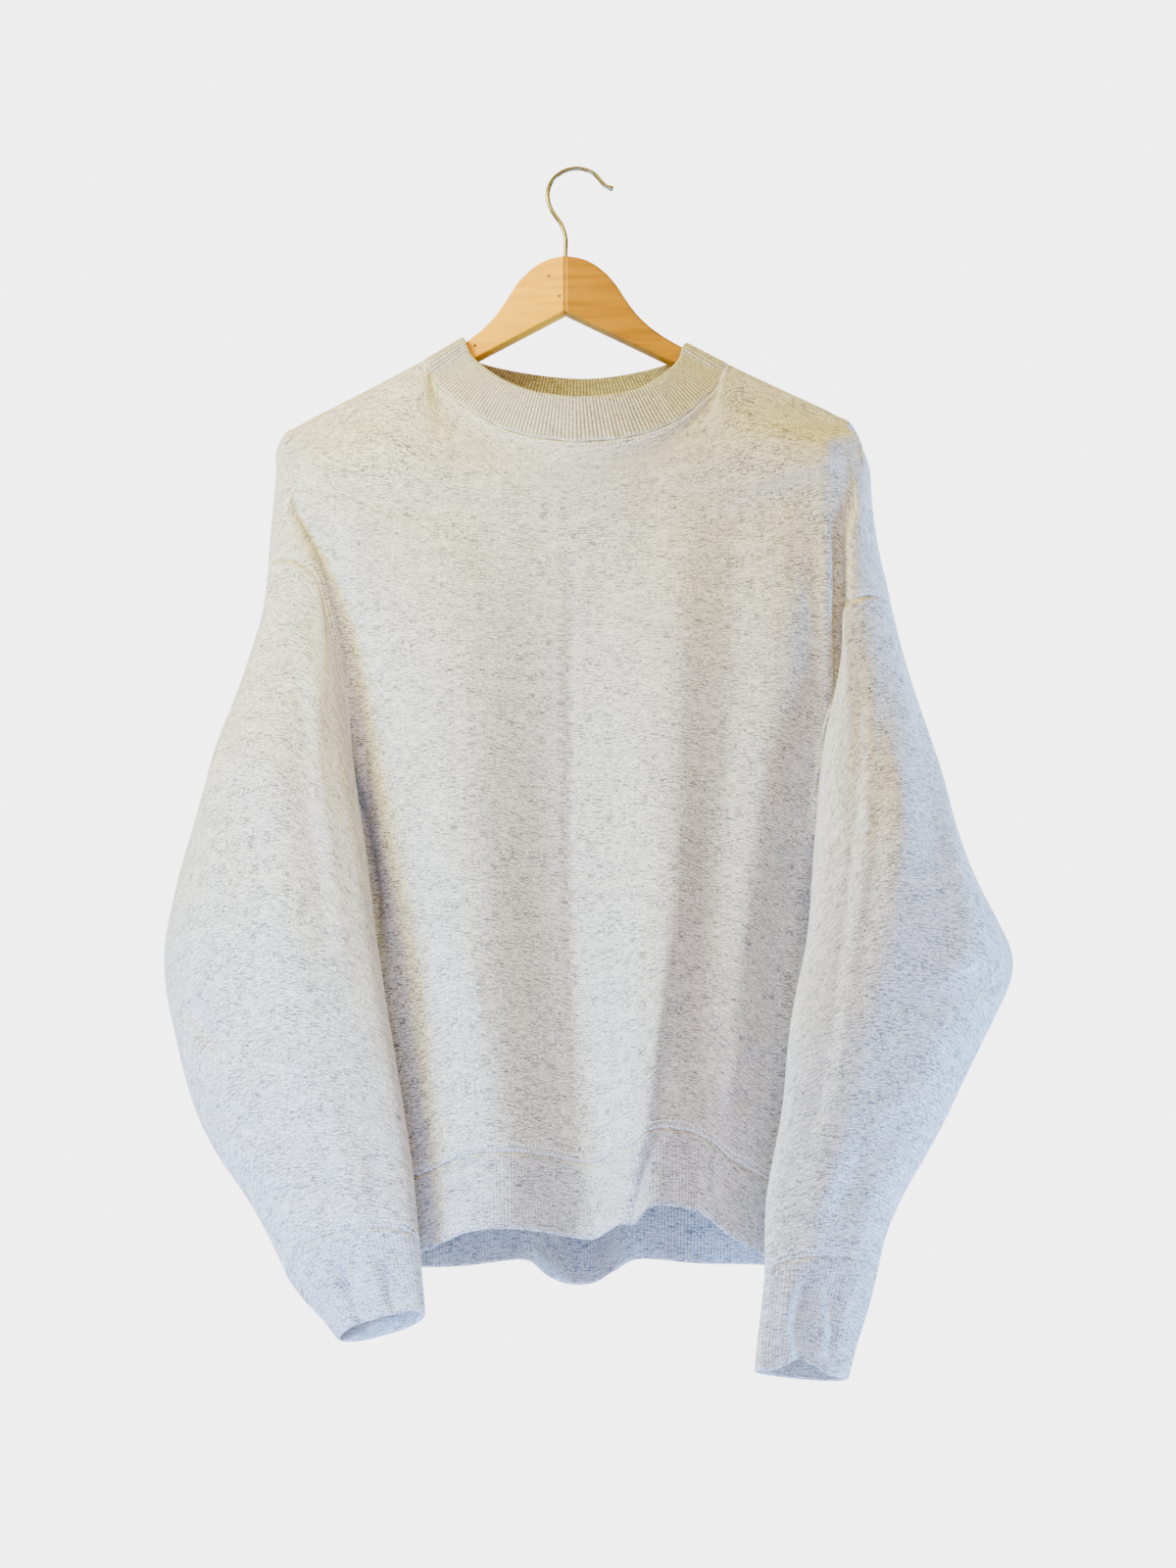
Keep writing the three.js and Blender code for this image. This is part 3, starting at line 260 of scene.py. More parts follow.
def ease(t):
    t = min(1.0, max(0.0, t))
    return t * t * (3 - 2 * t)


def unit(v):
    return v / (np.linalg.norm(v) or 1.0)


def hermite(a, leave, b, arrive, t):
    """A point between a and b on the smooth curve that leaves and arrives in these directions."""
    t2, t3 = t * t, t ** 3
    return ((2 * t3 - 3 * t2 + 1) * a + (t3 - 2 * t2 + t) * leave
            + (3 * t2 - 2 * t3) * b + (t3 - t2) * arrive)


def curve(keys, values, at):
    """A smooth curve through (keys, values) that never overshoots; flat beyond its ends."""
    order = 1 if keys[-1] > keys[0] else -1
    k, v = list(keys)[::order], list(values)[::order]
    last = len(k) - 1
    if at <= k[0]:
        return v[0]
    if at >= k[last]:
        return v[last]
    i = 0
    while at > k[i + 1]:
        i += 1

    def slope(j):
        return (v[j + 1] - v[j]) / (k[j + 1] - k[j])

    def tangent(j):
        if j == 0:
            return slope(0)
        if j == last:
            return slope(last - 1)
        a, b = slope(j - 1), slope(j)
        return 0 if a * b <= 0 else 2 * a * b / (a + b)

    step = k[i + 1] - k[i]
    return hermite(v[i], step * tangent(i), v[i + 1], step * tangent(i + 1), (at - k[i]) / step)


def refine(grid, times, axis=0, closed=False):
    """The grid divided again along one axis, on smooth curves through its points."""
    g = np.moveaxis(np.asarray(grid, float), axis, 0)
    if closed:
        ext = np.concatenate([g[-1:], g, g[:2]])
    else:
        ext = np.concatenate([2 * g[:1] - g[1:2], g, 2 * g[-1:] - g[-2:-1]])
    step = np.maximum(np.linalg.norm(np.diff(ext, axis=0), axis=-1, keepdims=True), 1e-2) ** 0.5
    out = []
    for i in range(len(g) if closed else len(g) - 1):
        a, b, c, d = ext[i:i + 4]
        h0, h1, h2 = step[i:i + 3]
        m1 = ((b - a) / h0 * h1 + (c - b) / h1 * h0) / (h0 + h1) * h1
        m2 = ((c - b) / h1 * h2 + (d - c) / h2 * h1) / (h1 + h2) * h1
        out += [hermite(b, m1, c, m2, n / times) for n in range(times)]
    if not closed:
        out.append(g[-1])
    return np.moveaxis(np.array(out), 0, axis)


def run_along(points, axis=0):
    """How far each point lies from the first one along its line, in mm."""
    steps = np.cumsum(np.linalg.norm(np.diff(points, axis=axis), axis=-1), axis=axis)
    return np.concatenate([np.zeros_like(steps.take([0], axis=axis)), steps], axis=axis)


def at_run(at, run, points):
    """The values of a line's points at distances along it."""
    return np.stack([np.interp(at, run, points[:, k]) for k in range(3)], axis=-1)


def respace(points, fractions):
    """Points of a line at fractions of its length."""
    points = np.asarray(points, float)
    run = run_along(points)
    return at_run(np.asarray(fractions) * run[-1], run, points)


def evenly(steps):
    return np.arange(steps + 1) / steps


def arm_top(x):
    return ARM_TOP["z"] - ARM_TOP["slope"] * (abs(x) - ARM_TOP["x"])


def seat(wall):
    return (CLEAR + wall / 2) * math.hypot(1, ARM_TOP["slope"])


def wood_top(x):
    return curve(WOOD_TOP_X, WOOD_TOP_Z, abs(x))


def wood_under(x):
    return ARM_UNDER["z"] - ARM_UNDER["slope"] * abs(x)


def clear_of_wood(p, wall):
    x = abs(p[0])
    if x > WOOD_END:
        return p
    half = WOOD_THICK / 2
    z = min(wood_top(x) - half, max(wood_under(x) + half, p[2]))
    away = np.array([0, p[1] - ARM_SWEEP * x, p[2] - z])
    need = half + seat(wall) + WOOD_GAP
    return p if np.linalg.norm(away) >= need else p - away + unit(away) * need


def lens(row, sign, turn):
    """A point of a sleeve's section, at a turn in degrees from its rear end over the front."""
    middle = ((row["edge_x"] + row["rear_x"]) / 2, (row["edge_y"] + row["rear_y"]) / 2)
    half = ((row["rear_x"] - row["edge_x"]) / 2, (row["rear_y"] - row["edge_y"]) / 2)
    size = math.hypot(*half)
    out = (sign * half[1] / size, -sign * half[0] / size)
    c, s = math.cos(math.radians(turn)), math.sin(math.radians(turn))
    along = math.copysign(abs(c) ** SLEEVE_SQUARE, c)
    swell = math.copysign(abs(s) ** SLEEVE_SQUARE, s)
    if s > 0:
        facet = min(1, (1 - abs(along)) / (2 * SLEEVE_FACET["width"]))
        swell = mix(swell, facet, SLEEVE_FACET["share"]) * row["front"]
    else:
        swell *= row["back"]
    return [middle[k] + half[k] * along + out[k] * swell for k in (0, 1)]


def sleeve_point(side, turn, z):
    rows = side["sleeve"]
    row = {name: curve([r[0] for r in rows], [r[k] for r in rows], z)
           for k, name in enumerate(SLEEVE_COLUMNS) if k}
    return np.array([*lens(row, side["sign"], turn), z])


def armhole_z(side, turn):
    """The height of the armhole's seam at a turn round the sleeve."""
    t = (turn - SHOULDER_TURN) % 360 + SHOULDER_TURN
    if t <= 180:
        return mix(side["shoulder"], side["edge"], ((t - SHOULDER_TURN) / (180 - SHOULDER_TURN)) ** 2)
    if t <= UNDER_TURN:
        u = (t - 180) / (UNDER_TURN - 180)
        return mix(side["edge"], side["under"], 1 - (1 - u) ** 2)
    w = (SHOULDER_TURN + 360 - t) / (SHOULDER_TURN + 360 - UNDER_TURN)
    return mix(side["shoulder"], side["under"], ((1 - math.cos(math.pi * w)) / 2) ** 1.8)


def cuff_z(side, turn):
    z, rear, front = side["cuff"]
    return z + rear * math.cos(math.radians(turn)) + front * math.sin(math.radians(turn))


def limb_turns(side, face):
    end = UNDER_TURN if face == "front" else UNDER_TURN - 360
    fine = np.linspace(SHOULDER_TURN, end, 241)
    line = np.array([sleeve_point(side, t, armhole_z(side, t)) for t in fine])
    run = run_along(line)
    turns = np.interp(evenly(LIMB_STEPS[face]) * run[-1], run, fine)
    turns[-1] = end
    return [float(t) for t in turns]


def shoulder_seam(side):
    neck = NECK_FRONT[0] if side["sign"] < 0 else NECK_FRONT[-1]
    outer, inner = side["sign"] * (WOOD_END - 3), side["sign"] * 205
    xs = [mix(outer, inner, n / END_STEPS) for n in range(END_STEPS)]
    xs += [mix(inner, neck[0], n / REST_STEPS) for n in range(REST_STEPS + 1)]
    return [np.array([x, ARM_SWEEP * abs(x), arm_top(x) + seat(FLEECE)]) for x in xs]


def hanging_seam(side):
    sign = side["sign"]
    tip, y = sign * (WOOD_END + 2 * CLEAR + FLEECE / 2), ARM_SWEEP * WOOD_END
    points = [np.array([tip, y, arm_top(WOOD_END) - 6]), np.array([tip + sign, y, arm_top(WOOD_END) - 15])]
    steps = SHOULDER_ROW - WRAP_ROWS
    for n in range(1, steps + 1):
        points.append(sleeve_point(side, SHOULDER_TURN, mix(TOP_ROW, side["shoulder"], n / steps)))
    return points


def side_seam(side, hem_z):
    zs, xs, ys = SIDE_SEAM[side["sign"]]
    under = sleeve_point(side, UNDER_TURN, side["under"])
    keys = [side["under"], *zs]
    out = []
    for n in range(1, SIDE_STEPS + 1):
        at = mix(side["under"], zs[2], n / SIDE_STEPS)
        out.append(np.array([curve(keys, [under[0], *xs], at), curve(keys, [under[1], *ys], at),
                             mix(side["under"], hem_z, n / SIDE_STEPS)]))
    return out


def row_heights(side, face):
    rows = [0, 0, 0]
    steps = SHOULDER_ROW - WRAP_ROWS
    rows += [mix(TOP_ROW, CORNER_START, n / steps) for n in range(1, steps + 1)]
    flat = sum(t < 180 for t in limb_turns(side, face)) if face == "front" else 0
    knee = side["edge"] + 4 if flat else CORNER_START
    rows += [mix(CORNER_START, knee, n / flat) for n in range(1, flat + 1)]
    left, bend = LIMB_STEPS[face] - flat, 1 if flat else 1.3
    rows += [mix(knee, side["under"], (n / left) ** bend) for n in range(1, left + 1)]
    rows += [mix(side["under"], FOLD_HEIGHTS[3], n / SIDE_STEPS) for n in range(1, SIDE_STEPS + 1)]
    return rows


def fold_point(folds, u, z):
    us = [f[0] for f in folds]
    x = curve(us, [curve(FOLD_HEIGHTS, f[1], z) for f in folds], u)
    y = curve(us, [curve(FOLD_HEIGHTS, f[2], z) for f in folds], u)
    return np.array([x, y, z])


def hem_shift(face, u, z):
    return ease((-600 - z) / 200) * curve(*HEM_LIFT[face], u)


def neck_line(face):
    rows = np.array(NECK_FRONT if face == "front" else NECK_BACK, float)
    f = evenly(NECK_STEPS[face])
    return respace(refine(rows[:, :3], 30), f - 0.5 * np.sin(2 * np.pi * f) / (2 * np.pi))


def panel(face):
    """A body panel's middle surface: rows of points from its left edge to its right edge."""
    folds = FRONT_FOLDS if face == "front" else BACK_FOLDS
    toward = -1 if face == "front" else 1
    sides = [LEFT, RIGHT]
    heights = [row_heights(s, face) for s in sides]
    turns = [limb_turns(s, face) for s in sides]
    shoulders = [shoulder_seam(s) for s in sides]
    hanging = [hanging_seam(s) for s in sides]
    seams = [side_seam(s, FOLD_HEIGHTS[3] - HEM_DROOP) for s in sides]
    top = [*shoulders[0][:-1], *neck_line(face), *shoulders[1][:-1][::-1]]
    inner = len(top) - 1 - 2 * END_STEPS
    wrap = WOOD_THICK / 2 + seat(FLEECE)

    def height_at(r, u):
        sag = ROW_SAG * (1 - ease((r - SHOULDER_ROW) / 7))
        return mix(heights[0][r], heights[1][r], u) - sag * (1 - (2 * u - 1) ** 2)

    def free(r, u):
        z = height_at(r, u)
        p = fold_point(folds, u, z)
        return np.array([p[0], p[1], z + hem_shift(face, u, z)])

    def over_wood(p, r):
        turn = math.radians(90 * min(1, r / WRAP_ROWS))
        return p + np.array([0, toward * wrap * math.sin(turn), -wrap * (1 - math.cos(turn))])

    def upper(r, n):
        start, u = top[END_STEPS + n], n / inner
        on_arm = ease(1.25 - max(0, min(n, inner - n) - REST_STEPS) / 1.6)
        end, below = free(YOKE_ROW, u), free(YOKE_ROW + 1, u)

        def path(a, t):
            leave = end - a
            return hermite(a, leave, end, unit(below - end) * np.linalg.norm(leave), t)

        if r <= WRAP_ROWS:
            armed = over_wood(start, r)
        else:
            armed = path(start + np.array([0, toward * wrap, -wrap]), (r - WRAP_ROWS) / (YOKE_ROW - WRAP_ROWS))
        return mix(path(start, r / YOKE_ROW), armed, on_arm)

    def middle(r, n):
        if r == 0:
            return top[END_STEPS + n]
        return upper(r, n) if r < YOKE_ROW else free(r, n / inner)

    def beside(s, r):
        side = sides[s]
        corner = middle(r, 0 if s == 0 else inner)
        limb, limb_end = r - SHOULDER_ROW, LIMB_STEPS[face]
        if limb > limb_end:
            seam = seams[s][limb - limb_end - 1]
            full = side["sign"] * 6 * ease((limb - limb_end - 1) / 4)
            belly = mix(seam, corner, 0.5) + np.array([full, 0, 0])
            t = evenly(12)[:, None]
            return respace((1 - t) ** 2 * seam + 2 * t * (1 - t) * belly + t * t * corner, evenly(END_STEPS))
        start = SHOULDER_TURN if limb <= 0 else turns[s][limb]
        z0 = hanging[s][r - 1][2] if limb <= 0 else armhole_z(side, start)
        z1 = corner[2]
        deep = ease((-246 - z1) / 66)
        bottom = 180 + 34 * deep if face == "front" else -30 * deep
        on_cap = face == "front" and limb >= 0 and start < 180
        line = [sleeve_point(side, start, z0)]
        if toward * (start - bottom) > 0:
            for n in range(1, 15):
                t = mix(start, bottom, n / 14)
                seam_z = armhole_z(side, min(t, 180))
                over = mix(seam_z, z1 + seam_z - side["edge"], n / 14)
                line.append(sleeve_point(side, t, over if on_cap else mix(z0, z1, n / 14)))
        line.append(corner)
        return respace(line, evenly(END_STEPS))

    rows = []
    for r in range(len(heights[0])):
        row = [middle(r, n) for n in range(inner + 1)]
        ends = []
        for s in (0, 1):
            if r == 0:
                ends.append(shoulders[s][:END_STEPS])
            elif r > WRAP_ROWS:
                ends.append(list(beside(s, r)[:END_STEPS]))
            else:
                ends.append([mix(hanging[s][r - 1], over_wood(p, r), ease(n / 1.5))
                             for n, p in enumerate(shoulders[s][:END_STEPS])])
        rows.append([*ends[0], *row, *ends[1][::-1]])
    return np.array([[clear_of_wood(np.asarray(p, float), FLEECE) for p in row] for row in rows])


def sleeve_ring(side, w):
    turns = limb_turns(side, "front") + [t + 360 for t in limb_turns(side, "back")[::-1]][1:-1]
    ring = []
    for n, turn in enumerate(turns):
        even = SHOULDER_TURN + 360 * n / len(turns)
        t = mix(turn, even, ease(w / 0.4))
        ring.append(sleeve_point(side, t, mix(armhole_z(side, turn), cuff_z(side, t), w)))
    return ring


def cuff_ring(side, end, w):
    start = sleeve_ring(side, 1)
    ring = []
    for n, p in enumerate(start):
        turn = SHOULDER_TURN + 360 * n / len(start)
        x, y = lens(end, side["sign"], turn)
        notch = end["notch"] * math.exp(-((turn - 100) / 22) ** 2)
        z = (end["z"] + end["lean"] * math.cos(math.radians(turn))
             + end["tilt"] * math.sin(math.radians(turn)) + notch)
        f = mix(w, ease(w), 0.3)
        ring.append([mix(p[0], x, f), mix(p[1], y, f), mix(p[2], z, w)])
    return ring


def normals_of(P, closed):
    """Outward normals of a grid of points."""
    across = (np.roll(P, -1, axis=1) - np.roll(P, 1, axis=1)) / 2 if closed else np.gradient(P, axis=1)
    N = np.cross(np.gradient(P, axis=0), across)
    return N / np.maximum(np.linalg.norm(N, axis=-1, keepdims=True), 1e-9)


def cloth_map(P, closed):
    """Where each point lies on the flat cloth, in mm: u across, v down."""
    Q = np.concatenate([P, P[:, :1]], axis=1) if closed else P
    u, v = run_along(Q, 1), run_along(Q)
    u = u - u[:, u.shape[1] // 2][:, None]
    return u, np.broadcast_to(v.mean(axis=1, keepdims=True), v.shape)


def smooth_step(a, b, x):
    t = np.clip((x - a) / (b - a), 0, 1)
    return t * t * (3 - 2 * t)


def creased(P, closed, rows, toward):
    """P with the listed creases. A row is a line's points in x and z, its half width and its
    depth: a crease is a soft groove with a low ridge on its lower side, fading at both ends."""
    N = normals_of(P, closed)
    faces = smooth_step(*FACING, toward * N[..., 1])
    x, z = P[..., 0], P[..., 2]
    move = np.zeros(x.shape)
    for points, width, depth in rows:
        line = refine(np.array([(a, 0.0, b) for a, b in points], float), 8)
        run = run_along(line)
        best, where, side = np.full(x.shape, 1e9), np.zeros(x.shape), np.zeros(x.shape)
        for k in range(len(line) - 1):
            a, d = line[k], line[k + 1] - line[k]
            size = max(float(np.hypot(d[0], d[2])), 1e-6)
            t = np.clip(((x - a[0]) * d[0] + (z - a[2]) * d[2]) / size ** 2, 0, 1)
            far_x, far_z = x - a[0] - t * d[0], z - a[2] - t * d[2]
            far = np.hypot(far_x, far_z)
            near = far < best
            best = np.where(near, far, best)
            where = np.where(near, (run[k] + t * size) / run[-1], where)
            side = np.where(near, np.sign(far_x * d[2] - far_z * d[0]), side)
        fade = smooth_step(0, CREASE["fade"], where) * smooth_step(1, 1 - CREASE["fade"], where)
        uneven = 1 - CREASE["uneven"] + CREASE["uneven"] * np.sin(where * 7 + points[0][0])
        s = best * side / width
        ridge = CREASE["ridge"] * np.exp(-((s - CREASE["ridge_at"]) / CREASE["ridge_width"]) ** 2)
        move -= depth * fade * uneven * (np.exp(-s ** 2) - ridge)
    return P + N * (move * faces)[..., None]


def pleated(P, closed):
    """P with the pleat's lying edge in front: the cloth left of it stands forward of its right."""
    N = normals_of(P, closed)
    faces = smooth_step(*FACING, -N[..., 1])
    height, width = PLEAT["height"], PLEAT["width"]
    xs, zs = zip(*PLEAT["edge"][::-1])
    edge = np.interp(P[..., 2], zs, xs)
    fade = smooth_step(zs[-1], zs[-1] - PLEAT["fade"], P[..., 2])
    s = P[..., 0] - edge
    push = height * (np.exp(-(np.minimum(s, 0) / (5 * width)) ** 2) * smooth_step(width, 0, s)
                     - 0.5 * np.exp(-((s - 1.5 * width) / (1.6 * width)) ** 2) * smooth_step(0, width, s))
    return P + N * (push * fade * faces)[..., None]


def to_metres(P):
    return (np.asarray(P) + np.array([CENTRE_X, 0, 0])) * 0.001


def mesh_object(name, verts, quads, material, smooth=True):
    mesh = bpy.data.meshes.new(name)
    mesh.from_pydata([tuple(v) for v in verts], [], [tuple(int(i) for i in q) for q in quads])
    mesh.materials.append(material)
    mesh.polygons.foreach_set("use_smooth", [smooth] * len(mesh.polygons))
    mesh.update()
    ob = bpy.data.objects.new(name, mesh)
    bpy.context.scene.collection.objects.link(ob)
    return ob


def shell(name, P, half, closed, material, ribs=None, depth=0.0, painted_groove_shades=(0, 0)):
    """A closed wall round a grid of middle points, half of it to each side. Ribs say how far
    each point of its two faces lies in a groove, and how much painted shade darkens the grooves on each face."""
    m, n = P.shape[:2]
    N = normals_of(P, closed)
    outside, inside = [np.zeros((m, n))] * 2 if ribs is None else ribs
    outer = P + N * (half - depth * outside)[..., None]
    inner = P - N * (half - depth * inside)[..., None]
    verts = to_metres(np.concatenate([outer.reshape(-1, 3), inner.reshape(-1, 3)]))
    u, v = cloth_map(P, closed)
    wide = n if closed else n - 1
    i, j = [a.ravel() for a in np.meshgrid(np.arange(m - 1), np.arange(wide), indexing="ij")]
    k = (j + 1) % n

    def at(face, row, col):
        return (face * m + row) * n + col

    quads = [
        np.stack([at(0, i, j), at(0, i + 1, j), at(0, i + 1, k), at(0, i, k)], 1),
        np.stack([at(1, i, j), at(1, i, k), at(1, i + 1, k), at(1, i + 1, j)], 1),
    ]
    j = np.arange(wide)
    k = (j + 1) % n
    top, last = np.zeros_like(j), np.full_like(j, m - 1)
    quads.append(np.stack([at(0, top, j), at(0, top, k), at(1, top, k), at(1, top, j)], 1))
    quads.append(np.stack([at(0, last, j), at(1, last, j), at(1, last, k), at(0, last, k)], 1))
    if not closed:
        i = np.arange(m - 1)
        for col, order in ((0, 1), (n - 1, -1)):
            c = np.full_like(i, col)
            quads.append(np.stack([at(0, i, c), at(1, i, c), at(1, i + 1, c), at(0, i + 1, c)][::order], 1))
    quads = np.concatenate(quads)
    row, col = quads % (m * n) // n, quads % n
    over_seam = (np.ptp(col, axis=1) > 1)[:, None]
    col, row = np.where(over_seam & (col == 0), n, col).ravel(), row.ravel()
    ob = mesh_object(name, verts, quads, material)
    uv = ob.data.uv_layers.new(name="cloth")
    flat = np.stack([u[row, col], -v[row, col]], axis=1)
    uv.data.foreach_set("uv", flat.ravel().astype(np.float32))
    if ribs is not None:
        # Painted shade: how far each point's colour is darkened toward the groove colour, for the shade in the rib
        # grooves
        layer = ob.data.attributes.new("groove", "FLOAT", "POINT")
        painted_shade_amount = np.concatenate([(outside * painted_groove_shades[0]).ravel(), (inside * painted_groove_shades[1]).ravel()])
        layer.data.foreach_set("value", painted_shade_amount.astype(np.float32))
    return ob


# Camera
def back_vector(azimuth, elevation):
    a, e = math.radians(azimuth), math.radians(elevation)
    return Vector((math.sin(a) * math.cos(e), -math.cos(a) * math.cos(e), math.sin(e)))


camera_data = bpy.data.cameras.new("camera")
camera_data.lens = CAMERA["lens"]
camera_data.sensor_width = 36.0
camera_data.clip_end = 50.0
camera = bpy.data.objects.new("camera", camera_data)
bpy.context.scene.collection.objects.link(camera)
camera.location = CAMERA["place"]
camera.rotation_euler = (-back_vector(CAMERA["azimuth"], CAMERA["elevation"])).to_track_quat("-Z", "Y").to_euler()
bpy.context.scene.camera = camera


# Materials
class Nodes:
    """Short ways to build the nodes of a material or of the world."""

    def __init__(self, name, kind=bpy.data.materials, shader="Principled BSDF"):
        self.owner = kind.new(name)
        self.owner.use_nodes = True
        self.tree = self.owner.node_tree
        self.shader = self.tree.nodes[shader]

    def new(self, kind, **inputs):
        node = self.tree.nodes.new(kind)
        for key, value in inputs.items():
            self.put(node.inputs[key.replace("_", " ")], value)
        return node

    def put(self, socket, value):
        if isinstance(value, bpy.types.NodeSocket):
            self.tree.links.new(value, socket)
        else:
            socket.default_value = value

    def shade(self, **inputs):
        for key, value in inputs.items():
            self.put(self.shader.inputs[key.replace("_", " ")], value)

    def noise(self, vector, scale, detail=2.0, roughness=0.5):
        """Noise at one scale, or at one for each direction."""
        if isinstance(scale, tuple):
            vector = self.new("ShaderNodeMapping", Vector=vector, Scale=scale).outputs["Vector"]
            scale = 1.0
        node = self.new("ShaderNodeTexNoise", Vector=vector, Scale=scale, Detail=detail, Roughness=roughness)
        return node.outputs["Fac"]

    def ramp(self, fac, stops):
        node = self.new("ShaderNodeValToRGB", Fac=fac)
        elements = node.color_ramp.elements
        while len(elements) < len(stops):
            elements.new(0.5)
        for element, (place, colour) in zip(elements, stops):
            element.position = place
            element.color = (*colour, 1.0)
        return node.outputs["Color"]

    def blend(self, fac, a, b):
        node = self.tree.nodes.new("ShaderNodeMix")
        node.data_type = "RGBA"
        self.put(node.inputs[0], fac)
        self.put(node.inputs[6], a)
        self.put(node.inputs[7], b)
        return node.outputs[2]

    def maths(self, how, a, b, kind="ShaderNodeMath", result=0):
        node = self.tree.nodes.new(kind)
        node.operation = how
        self.put(node.inputs[0], a)
        self.put(node.inputs[1], b)
        return node.outputs[result]

    def bump(self, height, strength, distance):
        return self.new("ShaderNodeBump", Strength=strength, Distance=distance, Height=height).outputs["Normal"]


def grey(v):
    return (v, v, v)


# Flecks and clouds of the heather: noise across and down the cloth, a mm, and how much it counts
LONG_FLECKS = {"scale": (0.13, 0.95, 1), "roughness": 0.62, "amount": 0.64}
SHORT_FLECKS = {"scale": (0.42, 1.9, 1), "roughness": 0.65, "amount": 0.88}
CLOUDS = {"scale": (0.035, 0.11, 1), "least": 0.15, "amount": 1.7}
FLECK_RAMP = [(0.45, grey(0.0)), (0.63, grey(1.0))]


def heather(name, base, fleck, groove=None):
    """Off-white knit with short grey flecks along its courses."""
    n = Nodes(name)
    uv = n.new("ShaderNodeUVMap")
    uv.uv_map = "cloth"
    flat = uv.outputs["UV"]
    flecks = [n.maths("MULTIPLY", n.ramp(n.noise(flat, kind["scale"], 3.0, kind["roughness"]), FLECK_RAMP),
                      kind["amount"]) for kind in (LONG_FLECKS, SHORT_FLECKS)]
    cloud = n.maths("MULTIPLY", n.noise(flat, CLOUDS["scale"], 4.0, 0.6), CLOUDS["amount"])
    amount = n.maths("MULTIPLY", n.maths("ADD", *flecks), n.maths("ADD", CLOUDS["least"], cloud))
    colour = n.blend(n.maths("MINIMUM", amount, 1.0), (*base, 1), (*fleck, 1))
    # Painted shade: the colour is darkened toward the groove colour where a point lies in a rib groove
    if groove:
        attribute = n.new("ShaderNodeAttribute")
        attribute.attribute_name = "groove"
        colour = n.blend(attribute.outputs["Fac"], colour, (*groove, 1))
    fuzz = n.noise(flat, 1.6, 4.0, 0.7)
    courses = n.noise(flat, (0.9, 3.2, 1), 2.0, 0.6)
    n.shade(Base_Color=colour, Roughness=0.92, Normal=n.bump(n.maths("ADD", fuzz, courses), 0.35, 0.0006),
            Sheen_Weight=0.25, Sheen_Roughness=0.5, Specular_IOR_Level=0.15)
    return n.owner


FLEECE_LOOK = heather("fleece", (0.88, 0.85, 0.81), (0.12, 0.12, 0.125))
# The groove colours of the band and the rib are painted shade for their rib grooves
BAND_LOOK = heather("band", (0.86, 0.83, 0.80), (0.14, 0.14, 0.145), groove=(0.20, 0.195, 0.19))
RIB_LOOK = heather("rib", (0.82, 0.77, 0.66), (0.30, 0.28, 0.25), groove=(0.13, 0.115, 0.085))


def thread_look():
    n = Nodes("thread")
    place = n.new("ShaderNodeTexCoord").outputs["Object"]
    twist = n.noise(place, (1500, 1500, 1500))
    n.shade(Base_Color=n.ramp(twist, [(0.3, (0.78, 0.76, 0.71)), (0.7, (0.92, 0.90, 0.86))]), Roughness=0.7,
            Normal=n.bump(twist, 0.2, 0.0002))
    return n.owner


THREAD_LOOK = thread_look()


def wood(name, pale, deep):
    """Plain wood with fine grain along the arms and small pores."""
    n = Nodes(name)
    place = n.new("ShaderNodeTexCoord").outputs["Object"]
    grain = n.noise(place, (18, 60, 160), 4.0, 0.55)
    pores = n.ramp(n.noise(place, (120, 500, 900), 2.0, 0.6), [(0.55, grey(0)), (0.7, grey(1))])
    colour = n.blend(n.maths("MULTIPLY", pores, 0.2), n.ramp(grain, [(0.3, deep), (0.62, pale)]), (*deep, 1))
    n.shade(Base_Color=colour, Roughness=n.maths("ADD", 0.36, n.maths("MULTIPLY", grain, 0.2)),
            Normal=n.bump(grain, 0.1, 0.0004), Specular_IOR_Level=0.2, Coat_Weight=0.05, Coat_Roughness=0.3)
    return n.owner


def wire_look():
    n = Nodes("hook_wire")
    place = n.new("ShaderNodeTexCoord").outputs["Object"]
    marks = n.noise(place, (400, 400, 900), 3.0, 0.6)
    n.shade(Base_Color=n.ramp(marks, [(0.3, (0.13, 0.115, 0.07)), (0.7, (0.30, 0.275, 0.20))]),
            Metallic=1.0, Roughness=n.maths("ADD", 0.16, n.maths("MULTIPLY", marks, 0.16)),
            Normal=n.bump(marks, 0.05, 0.0002))
    return n.owner


# Cloth pieces: a grid of points each, and whether it is closed to a ring
GRIDS = {
    "front": (panel("front"), False),
    "back": (panel("back")[:, ::-1], False),
}
for side_name, side, cuff_end in (("left", LEFT, CUFF_LEFT), ("right", RIGHT, CUFF_RIGHT)):
    sleeve = np.array([sleeve_ring(side, w) for w in evenly(SLEEVE_RINGS)])
    cuff = np.array([cuff_ring(side, cuff_end, w) for w in BAND_ROWS])
    for name, rings in (("sleeve_", sleeve), ("cuff_", cuff)):
        GRIDS[name + side_name] = (rings[:, ::-side["sign"]], True)
hem_loop = np.concatenate([GRIDS["front"][0][-1], GRIDS["back"][0][-1][1:-1]])
band = []
for w in BAND_ROWS:
    ring = hem_loop.copy()
    for k in (0, 1):
        ring[:, k] = mix(ring[:, k], BAND["centre"][k], BAND["draw"][k] * w)
    ring[:, 2] -= BAND["height"] * w
    band.append(ring)
GRIDS["hem_band"] = (np.array(band), True)


def finish_cloth(ob, node):
    """Puts a piece of cloth in the place of its part in the frame."""
    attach(ob, "root")
    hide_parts(node)


def folded(node, P, closed):
    """P with its creases, front and back, and the pleat where it has one."""
    for toward in (-1, 1):
        P = creased(P, closed, CREASES.get((node, toward), ()), toward)
    return pleated(P, closed) if node in ("front", "hem_band") else P


def seam_half(P, wall, closed):
    """Half the wall at each point: thinner where the cloth is drawn in at its seams."""
    half = np.full(P.shape[:2], wall / 2)
    half[[0, -1]] *= SEAM_DRAW
    if not closed:
        half[:, [0, -1]] = wall / 2 * SEAM_DRAW
    return half


STITCH_LINES = []


